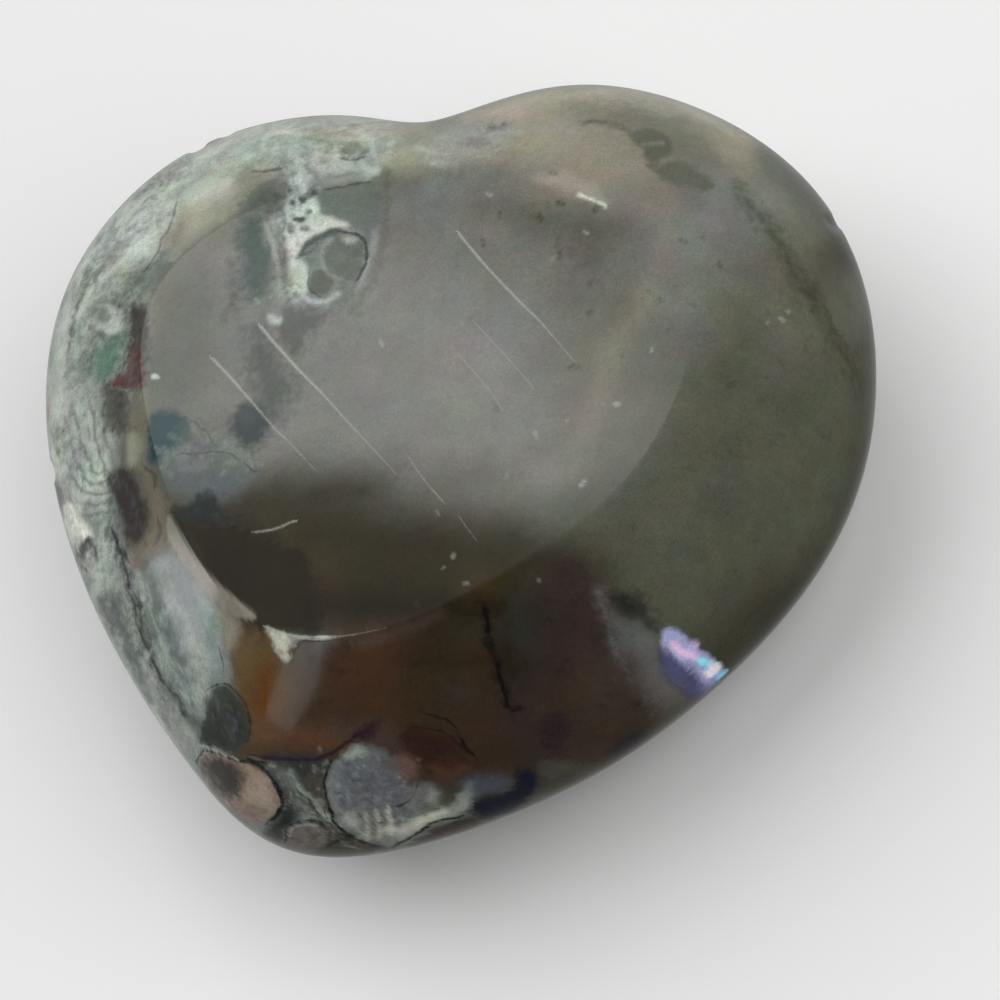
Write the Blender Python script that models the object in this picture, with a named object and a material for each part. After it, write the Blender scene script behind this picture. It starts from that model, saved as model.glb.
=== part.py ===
"""A polished heart of fossil-bearing stone: one solid, 80 mm across, lying on its flat underside.

Two closed curves carry the shape: the girdle, which is the heart's widest outline at half its
height, and the table, which is the edge of the broad flat ground on its top. The skin is lofted
from the table out to the girdle, and from there in to a smaller flat underneath.
"""
import math

import bmesh
import bpy
import numpy

NODE = "stone_heart"
COLLECTION = "polished_stone_heart"
MM = 0.001

# Heights, in millimetres.
GIRDLE_HEIGHT = 15.0
TOP_HEIGHT = 30.8
# The table is a very shallow dome, highest at its middle.
DOME_RADIUS = 400.0
DOME_MIDDLE = (3.0, -2.0)
# The underside's flat is this much of the table's outline.
REST_SHARE = 0.85

# Control points of closed cubic B-splines, in millimetres, clockwise from the heart's notch.
GIRDLE = [(-3.0, 29.5), (9.0, 39.5), (33.5, 29.0), (40.5, 10.5), (39.5, -5.5), (28.0, -21.5), (17.0, -30.5),
          (-3.5, -39.5), (-13.0, -33.0), (-27.5, -19.0), (-37.5, -3.5), (-42.0, 13.5), (-33.0, 31.0),
          (-13.0, 34.5)]
TABLE = [(-3.0, 20.5), (10.0, 21.0), (23.0, 16.5), (31.0, 8.0), (28.5, -8.0), (20.5, -15.5), (9.0, -23.5),
         (-2.5, -25.0), (-13.5, -15.0), (-19.5, -5.5), (-25.5, 8.5), (-15.0, 18.0)]

# The skin's profile from a flat's edge to the girdle: a Bezier curve whose handles are shares of
# the way out and of the height. The drop over the first handle is what makes the edge crisp.
FIRST_REACH = 0.45
BULGE = 0.6
SOFT_DROP = 0.08
CRISP_DROP = 0.24
CRISP_MIDDLE = math.radians(-118.0)
CRISP_HALF_WIDTH = math.radians(62.0)
CRISP_FADE = math.radians(24.0)

# A faint keel runs from the table down to the tip.
KEEL_ANGLE = math.radians(-95.5)
KEEL_RISE = 0.45             # millimetres, at the table's edge
KEEL_SPREAD = math.radians(9.0)

ANGLE_STEPS = 120
SKIN_RINGS = 10
CROWN_RINGS = 4
SPLINE_SAMPLES = 1440

STONE_COLOUR = (0.16, 0.155, 0.135, 1.0)
STONE_ROUGHNESS = 0.12


def clear_scene():
    for item in list(bpy.data.objects):
        bpy.data.objects.remove(item, do_unlink=True)


def spline_points(control):
    """Points round a closed uniform cubic B-spline."""
    control = numpy.array(control)
    place = numpy.linspace(0.0, len(control), SPLINE_SAMPLES, endpoint=False)
    span = numpy.floor(place).astype(int)
    t = (place - span)[:, None]
    weights = ((1 - t) ** 3, 3 * t ** 3 - 6 * t ** 2 + 4, -3 * t ** 3 + 3 * t ** 2 + 3 * t + 1, t ** 3)
    points = [control[(span + step - 1) % len(control)] for step in range(4)]
    return sum(point * weight for point, weight in zip(points, weights)) / 6.0


def reach(points, angles):
    """How far a closed outline is from the origin at each plan angle."""
    own_angles = numpy.arctan2(points[:, 1], points[:, 0])
    order = numpy.argsort(own_angles)
    distance = numpy.hypot(points[:, 0], points[:, 1])[order]
    return numpy.interp(angles, own_angles[order], distance, period=2 * math.pi)


def angle_from(angles, middle):
    """Unsigned angle between each plan angle and the middle one."""
    return numpy.abs((angles - middle + math.pi) % (2 * math.pi) - math.pi)


def bezier(start, first, second, end, t):
    return start * (1 - t) ** 3 + 3 * first * t * (1 - t) ** 2 + 3 * second * t ** 2 * (1 - t) + end * t ** 3


def edge_drop(angles):
    """First handle's drop round the table: crisp along the lower left, soft elsewhere."""
    fade = (CRISP_HALF_WIDTH + CRISP_FADE - angle_from(angles, CRISP_MIDDLE)) / CRISP_FADE
    fade = numpy.clip(fade, 0.0, 1.0)
    return SOFT_DROP + (CRISP_DROP - SOFT_DROP) * fade * fade * (3 - 2 * fade)


def dome_height(angles, distance):
    """Height of the table's dome over each point of a ring."""
    along = distance * numpy.cos(angles) - DOME_MIDDLE[0]
    across = distance * numpy.sin(angles) - DOME_MIDDLE[1]
    return TOP_HEIGHT - (along ** 2 + across ** 2) / (2 * DOME_RADIUS)


def ring(angles, distance, height):
    """A closed ring of points, in metres, about the outlines' origin."""
    level = height * numpy.ones(ANGLE_STEPS)
    return numpy.stack((distance * numpy.cos(angles), distance * numpy.sin(angles), level), axis=1) * MM


def heart_rings():
    """Rings from the table's middle, out over the skin and in to the underside's flat."""
    angles = KEEL_ANGLE + numpy.linspace(0.0, 2 * math.pi, ANGLE_STEPS, endpoint=False)
    girdle = reach(spline_points(GIRDLE), angles)
    table = reach(spline_points(TABLE), angles)
    keel = KEEL_RISE * numpy.exp(-angle_from(angles, KEEL_ANGLE) / KEEL_SPREAD)
    rest = table * REST_SHARE
    edge_height = dome_height(angles, table + keel)
    rings = []
    for share in numpy.arange(1, CROWN_RINGS) / CROWN_RINGS:
        distance = (table + keel) * share
        rings.append(ring(angles, distance, dome_height(angles, distance)))
    for t in numpy.arange(SKIN_RINGS + 1) / SKIN_RINGS:
        out = bezier(0.0, FIRST_REACH, 1.0, 1.0, t)
        climb = bezier(1.0, 1.0 - edge_drop(angles), BULGE, 0.0, t)
        distance = table + (girdle - table) * out + keel * (1 - out)
        rings.append(ring(angles, distance, GIRDLE_HEIGHT + (edge_height - GIRDLE_HEIGHT) * climb))
    for t in numpy.arange(SKIN_RINGS - 1, -1, -1) / SKIN_RINGS:
        out = bezier(0.0, FIRST_REACH, 1.0, 1.0, t)
        climb = bezier(1.0, 1.0 - SOFT_DROP, BULGE, 0.0, t)
        rings.append(ring(angles, rest + (girdle - rest) * out, GIRDLE_HEIGHT * (1 - climb)))
    return rings


def centred(rings):
    """The rings moved so that the heart's plan box is centred on the origin, and the move."""
    points = numpy.concatenate(rings)
    move = -(points.min(axis=0) + points.max(axis=0)) / 2
    move[2] = 0.0
    return [points_of_ring + move for points_of_ring in rings], move


def heart_mesh():
    rings, move = centred(heart_rings())
    middle_height = dome_height(numpy.zeros(1), numpy.zeros(1))[0]
    middle = move + numpy.array((0.0, 0.0, middle_height)) * MM
    work = bmesh.new()
    loops = [[work.verts.new(point) for point in points_of_ring] for points_of_ring in rings]
    apex = work.verts.new(middle)
    for corner in range(ANGLE_STEPS):
        following = (corner + 1) % ANGLE_STEPS
        work.faces.new((apex, loops[0][corner], loops[0][following]))
        for upper, lower in zip(loops, loops[1:]):
            work.faces.new((upper[corner], lower[corner], lower[following], upper[following]))
    work.faces.new(reversed(loops[-1]))
    bmesh.ops.recalc_face_normals(work, faces=work.faces)
    mesh = bpy.data.meshes.new(NODE)
    work.to_mesh(mesh)
    work.free()
    return mesh


def stone_material():
    material = bpy.data.materials.new("polished_stone")
    material.use_nodes = True
    shader = material.node_tree.nodes["Principled BSDF"]
    shader.inputs["Base Color"].default_value = STONE_COLOUR
    shader.inputs["Roughness"].default_value = STONE_ROUGHNESS
    shader.inputs["Metallic"].default_value = 0.0
    return material


def build():
    clear_scene()
    collection = bpy.data.collections.new(COLLECTION)
    bpy.context.scene.collection.children.link(collection)
    heart = bpy.data.objects.new(NODE, heart_mesh())
    heart.data.materials.append(stone_material())
    collection.objects.link(heart)


build()
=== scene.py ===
"""Dresses the polished stone heart: its fine skin, the fossils and colours in it, and a plain studio."""

import math
from collections import namedtuple

import bpy
import numpy
from mathutils import Matrix, Vector, noise


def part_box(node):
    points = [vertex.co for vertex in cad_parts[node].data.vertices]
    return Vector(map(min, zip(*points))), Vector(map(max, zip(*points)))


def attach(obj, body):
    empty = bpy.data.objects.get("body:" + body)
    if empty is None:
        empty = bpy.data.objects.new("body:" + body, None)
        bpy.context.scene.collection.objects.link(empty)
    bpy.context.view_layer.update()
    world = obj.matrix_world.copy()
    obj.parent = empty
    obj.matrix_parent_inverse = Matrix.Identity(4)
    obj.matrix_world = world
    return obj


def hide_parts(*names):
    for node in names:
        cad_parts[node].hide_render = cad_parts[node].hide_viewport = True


NODE = "stone_heart"
MM = 0.001
UPWARD = (0.0, 0.0, 1.0)

# ---------------------------------------------------------------------------------------------
# The stone's form, in millimetres, as the solid has it
# ---------------------------------------------------------------------------------------------
GIRDLE_HEIGHT = 15.0
TOP_HEIGHT = 30.8
DOME_RADIUS = 400.0
DOME_MIDDLE = (3.0, -2.0)
REST_SHARE = 0.85

# Control points of closed cubic B-splines, clockwise from the heart's notch.
GIRDLE = [(-3.0, 29.5), (9.0, 39.5), (33.5, 29.0), (40.5, 10.5), (39.5, -5.5), (28.0, -21.5), (17.0, -30.5),
          (-3.5, -39.5), (-13.0, -33.0), (-27.5, -19.0), (-37.5, -3.5), (-42.0, 13.5), (-33.0, 31.0),
          (-13.0, 34.5)]
TABLE = [(-3.0, 20.5), (10.0, 21.0), (23.0, 16.5), (31.0, 8.0), (28.5, -8.0), (20.5, -15.5), (9.0, -23.5),
         (-2.5, -25.0), (-13.5, -15.0), (-19.5, -5.5), (-25.5, 8.5), (-15.0, 18.0)]

# The flank's curve: how far out its first handle reaches, how high its second one is, and how deep the first
# drops, which is most along the crisp stretch of the table's edge. A keel rises at the heart's tip.
FIRST_REACH = 0.45
BULGE = 0.6
SOFT_DROP = 0.08
CRISP_DROP = 0.24
CRISP_MIDDLE = math.radians(-118.0)
CRISP_HALF_WIDTH = math.radians(62.0)
CRISP_FADE = math.radians(24.0)
KEEL_ANGLE = math.radians(-95.5)
KEEL_RISE = 0.45
KEEL_SPREAD = math.radians(9.0)

# How finely the skin is cut: points round it, and rings in each stretch. Table rings nearer the middle
# than a share of the way have fewer points, halved at most so many times.
ROUND_POINTS = 768
TABLE_RINGS = 84
SKIN_RINGS = 60
UNDER_RINGS = 24
REST_RINGS = 10
FULL_SHARE = 0.72
MOST_HALVINGS = 5
SPLINE_SAMPLES = 2880

# ---------------------------------------------------------------------------------------------
# The camera, as the photograph's outline places it
# ---------------------------------------------------------------------------------------------
CAMERA_ELEVATION = math.radians(55.5)
CAMERA_AZIMUTH = math.radians(47.7)
CAMERA_ROLL = math.radians(-40.0)
CAMERA_DISTANCE = 294.0
CAMERA_AIM = (8.1, -3.4, 15.0)
CAMERA_CLIP = (0.01, 20.0)
FOCAL_PIXELS = 3380.0
PICTURE_SIDE = 1000.0
SENSOR_WIDTH = 36.0

# ---------------------------------------------------------------------------------------------
# Colours of the stone, as linear light
# ---------------------------------------------------------------------------------------------
COLOURS = {
    # The first two colours are the table's grey-olive laid paler where the window is mirrored on it: partly
    # the stone's own colour, partly a painted reflection.
    "veil_grey": (0.150, 0.152, 0.136),
    "veil_pale": (0.178, 0.182, 0.166),
    "table_olive": (0.114, 0.114, 0.086),
    "table_dark": (0.066, 0.066, 0.042),
    "table_left": (0.098, 0.108, 0.086),
    "olive": (0.080, 0.084, 0.058),
    "deep_olive": (0.032, 0.034, 0.014),
    "dark_olive": (0.026, 0.021, 0.009),
    "black_olive": (0.015, 0.011, 0.005),
    "bronze": (0.052, 0.036, 0.015),
    "blue_grey": (0.165, 0.175, 0.158),
    "notch_grey": (0.285, 0.295, 0.265),
    "pale_tan": (0.450, 0.430, 0.340),
    "tan": (0.290, 0.262, 0.190),
    "pinkish": (0.238, 0.212, 0.170),
    "apricot": (0.220, 0.165, 0.115),
    "leaf_green": (0.150, 0.154, 0.116),
    "leaf_dark": (0.090, 0.096, 0.070),
    "amber": (0.105, 0.064, 0.022),
    "orange": (0.105, 0.034, 0.003),
    "red_brown": (0.036, 0.021, 0.012),
    "rust": (0.062, 0.027, 0.014),
    "blood": (0.028, 0.009, 0.007),
    "oxblood": (0.080, 0.014, 0.009),
    "maroon": (0.020, 0.009, 0.009),
    "purple_brown": (0.034, 0.022, 0.018),
    "warm_brown": (0.036, 0.024, 0.013),
    "plum": (0.022, 0.009, 0.016),
    "dusty_pink": (0.100, 0.072, 0.066),
    "rose": (0.150, 0.085, 0.075),
    "brick": (0.105, 0.050, 0.028),
    "brick_grey": (0.062, 0.040, 0.033),
    "pink_tan": (0.310, 0.235, 0.185),
    "pale_pink": (0.420, 0.320, 0.260),
    "sand": (0.180, 0.145, 0.100),
    "shell_grey": (0.285, 0.325, 0.285),
    "shell_pale": (0.420, 0.470, 0.410),
    "shell_slate": (0.115, 0.140, 0.124),
    "shell_blue": (0.215, 0.258, 0.250),
    "cream": (0.560, 0.580, 0.480),
    "white": (0.520, 0.570, 0.510),
    "bright": (0.860, 0.870, 0.760),
    "cream_olive": (0.330, 0.335, 0.252),
    "olive_sand": (0.145, 0.142, 0.100),
    "mint": (0.088, 0.175, 0.120),
    "moss": (0.066, 0.078, 0.052),
    "fern": (0.080, 0.105, 0.080),
    "slate": (0.032, 0.062, 0.050),
    "deep_slate": (0.008, 0.024, 0.026),
    "dark_slate": (0.040, 0.052, 0.046),
    "blue_slate": (0.003, 0.038, 0.050),
    "moss_black": (0.028, 0.036, 0.030),
    "charcoal": (0.014, 0.019, 0.018),
    "dark_brown": (0.034, 0.026, 0.017),
    "ink": (0.007, 0.008, 0.009),
    "pitch": (0.003, 0.002, 0.002),
    "lavender": (0.150, 0.165, 0.180),
    "pale_slate": (0.088, 0.106, 0.108),
    "lilac": (0.120, 0.115, 0.150),
    "lilac_grey": (0.120, 0.130, 0.140),
    "mauve": (0.022, 0.013, 0.016),
    "navy": (0.003, 0.005, 0.018),
    "sky_blue": (0.070, 0.085, 0.125),
    "taupe": (0.140, 0.128, 0.112),
    "leaf_brown": (0.058, 0.056, 0.043),
    "mid_grey": (0.140, 0.140, 0.142),
    "dark_grey": (0.034, 0.036, 0.034),
    "nacre_blue": (0.360, 0.380, 0.640),
    "nacre_pink": (0.800, 0.560, 0.800),
    "nacre_white": (0.980, 0.900, 1.000),
    "nacre_cyan": (0.300, 0.820, 1.000),
    "indigo": (0.050, 0.050, 0.120),
}

Mark = namedtuple("Mark", "kind colour places size turn soft strength")


def oval(colour, middle, half, turn=0, soft=2, strength=1):
    return Mark("oval", colour, middle, half, turn, soft, strength)


def stroke(colour, path, half, soft=2, strength=1):
    return Mark("stroke", colour, path, half, 0, soft, strength)


def line(colour, path, half, strength=1):
    return Mark("stroke", colour, path, half, 0, 1, strength)


def patch(colour, corners, soft=2, strength=1):
    return Mark("patch", colour, corners, 0, 0, soft, strength)


# ---------------------------------------------------------------------------------------------
# Marks that the photograph shows. Places and sizes are pixels of its frame, x to the right and
# y down; a size is half a length or width. Numbers follow in the order of the functions above:
# an oval's turn in degrees, clockwise on the picture, how soft the edge is in pixels, and how
# strongly the mark covers. A mark without a colour only says where something is.
# ---------------------------------------------------------------------------------------------
LEFT_SIDE = [(40, 240), (110, 160), (180, 130), (230, 140), (190, 200), (150, 290), (140, 380),
    (120, 420), (110, 500), (140, 570), (150, 640), (225, 740), (180, 790), (90, 680), (30, 480)]

# Broad grounds, which run right through the stone.
GROUNDS = {
    # The table's ground and its paler middle: the stone's grey-olive with a painted reflection of the window
    # laid into it.
    "table": oval("veil_grey", (410, 330), (290, 185), 0, 70),
    "table_sheen": oval("veil_pale", (450, 372), (64, 44), 30, 44, 0.7),
    "table_right": oval("table_olive", (640, 345), (84, 120), 20, 56, 0.85),
    "table_left": oval("table_left", (178, 345), (46, 76), 10, 34, 0.9),
    "table_top": patch("table_dark", [(470, 196), (560, 200), (600, 210), (624, 228), (604, 252),
        (570, 252), (530, 232)], 28, 0.6),
    "veil_foot": oval("table_dark", (466, 478), (34, 15), -8, 24, 0.5),
    "table_edge_low": oval("dark_olive", (290, 500), (100, 26), -8, 30, 0.8),
    "shoulder": oval("blue_grey", (716, 250), (70, 96), 25, 45, 0.85),
    "right_side": oval("olive", (800, 430), (130, 170), 10, 60),
    "right_shoulder": oval("table_olive", (770, 305), (34, 74), -24, 40, 0.9),
    "low_side": oval("olive", (700, 560), (110, 70), -30, 50),
    "low_rim": oval("dark_olive", (742, 628), (76, 30), -42, 40, 0.6),
    "right_rim": stroke("black_olive", [(850, 250), (884, 350), (880, 440), (845, 545), (776, 640),
        (700, 712)], 14, 30),
    "top": oval("pinkish", (568, 148), (105, 44), 8, 34),
    "top_light": oval("pale_tan", (540, 132), (56, 16), -6, 24, 0.25),
    # Painted reflection: the table's top edge laid paler where the mirrored window fades out.
    "table_back": oval("veil_pale", (470, 186), (54, 16), 4, 22, 0.6),
    "top_rim": stroke("pale_tan", [(470, 122), (540, 100), (620, 92), (690, 108), (738, 136)], 12, 22,
        0.9),
    "upper_right": stroke("tan", [(690, 142), (740, 172), (778, 202), (810, 240)], 10, 18, 0.25),
    "notch": stroke("cream_olive", [(330, 128), (400, 128), (450, 140)], 14, 18, 0.7),
    "notch_side": oval("cream_olive", (396, 152), (36, 16), 6, 16, 0.9),
    "back_left_lobe": oval("shell_pale", (280, 138), (110, 30), -8, 18, 0.95),
    "lobe_light": oval("shell_pale", (186, 200), (60, 26), -38, 24, 0.6),
    "left_side": patch("shell_grey", LEFT_SIDE, 12),
    # The left rim's pale strokes are partly the pale shells and partly painted light, brighter where light
    # falls from the left.
    "left_rim_lit": stroke("shell_pale", [(40, 470), (46, 380), (62, 300), (92, 232), (135, 192), (190, 158),
        (250, 140)], 12, 26),
    "rim_light": stroke("white", [(78, 316), (98, 262), (122, 230), (142, 212), (168, 196)], 9, 16, 0.8),
    "left_rim_lit_low": stroke("shell_pale", [(44, 400), (62, 470), (80, 560), (104, 640), (160, 730),
        (196, 782)], 10, 20, 0.95),
    "under_veil": oval("dark_olive", (335, 570), (200, 76), 2, 44),
    "under_veil_middle": oval("dark_olive", (470, 565), (74, 40), -18, 38, 0.9),
    "table_foot": oval("black_olive", (400, 606), (130, 22), 2, 24),
    "low_bronze": oval("bronze", (290, 570), (50, 34), 0, 36, 0.45),
    "foot_bronze": oval("bronze", (480, 584), (26, 20), -20, 16, 0.5),
    "body": oval("red_brown", (430, 712), (235, 84), 0, 30),
    "rusty": oval("rust", (366, 676), (60, 40), -10, 34, 0.6),
    "body_red": oval("rust", (374, 648), (24, 16), -10, 16, 0.5),
    "body_dark": oval("black_olive", (446, 642), (32, 20), -16, 22, 0.5),
    "body_olive": oval("dark_olive", (440, 688), (50, 30), 6, 26, 0.6),
    "purple": oval("purple_brown", (562, 660), (62, 116), 8, 26),
    "body_grey": oval("purple_brown", (462, 694), (24, 14), 0, 16, 0.8),
    "body_black": oval("black_olive", (512, 634), (20, 42), 6, 24, 0.9),
    "body_streak": oval("black_olive", (446, 663), (40, 4), -2, 9, 0.6),
    "body_dusty": oval("dusty_pink", (604, 692), (22, 26), -20, 26, 0.35),
    "body_rose": stroke("dusty_pink", [(352, 644), (392, 634), (440, 614)], 4, 10, 0.4),
    "warm": oval("warm_brown", (600, 715), (60, 52), -20, 26, 0.6),
    "amber": oval("amber", (254, 676), (34, 72), 6, 20),
    "amber_glow": oval("orange", (266, 690), (14, 26), 8, 16, 0.9),
    "amber_foot": oval("brick", (300, 738), (56, 16), 6, 18, 0.8),
    "foot_mauve": oval("brick_grey", (366, 736), (34, 14), 10, 16, 0.8),
}

# Where the stone is a crowd of small fossils, and its mottling strong.
RICH = {
    "left_side": patch("", LEFT_SIDE, 14),
    "left_lobe": oval("", (290, 150), (110, 34), -8, 22, 0.7),
    "band": oval("", (290, 260), (96, 100), 10, 30, 0.35),
    "ovals": oval("", (215, 450), (60, 62), 0, 24, 0.35),
    "bevel": oval("", (188, 636), (42, 84), -16, 14, 0.7),
    "lumps": oval("", (300, 236), (26, 70), 6, 10, 0.9),
    "round": oval("", (340, 262), (32, 36), 0, 10, 0.8),
    "tip": oval("", (312, 812), (124, 44), -4, 18, 0.9),
    "chip": oval("", (300, 642), (36, 16), 5, 6, 0.38),
    "notch": oval("", (470, 144), (60, 28), -8, 16, 0.5),
}

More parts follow.
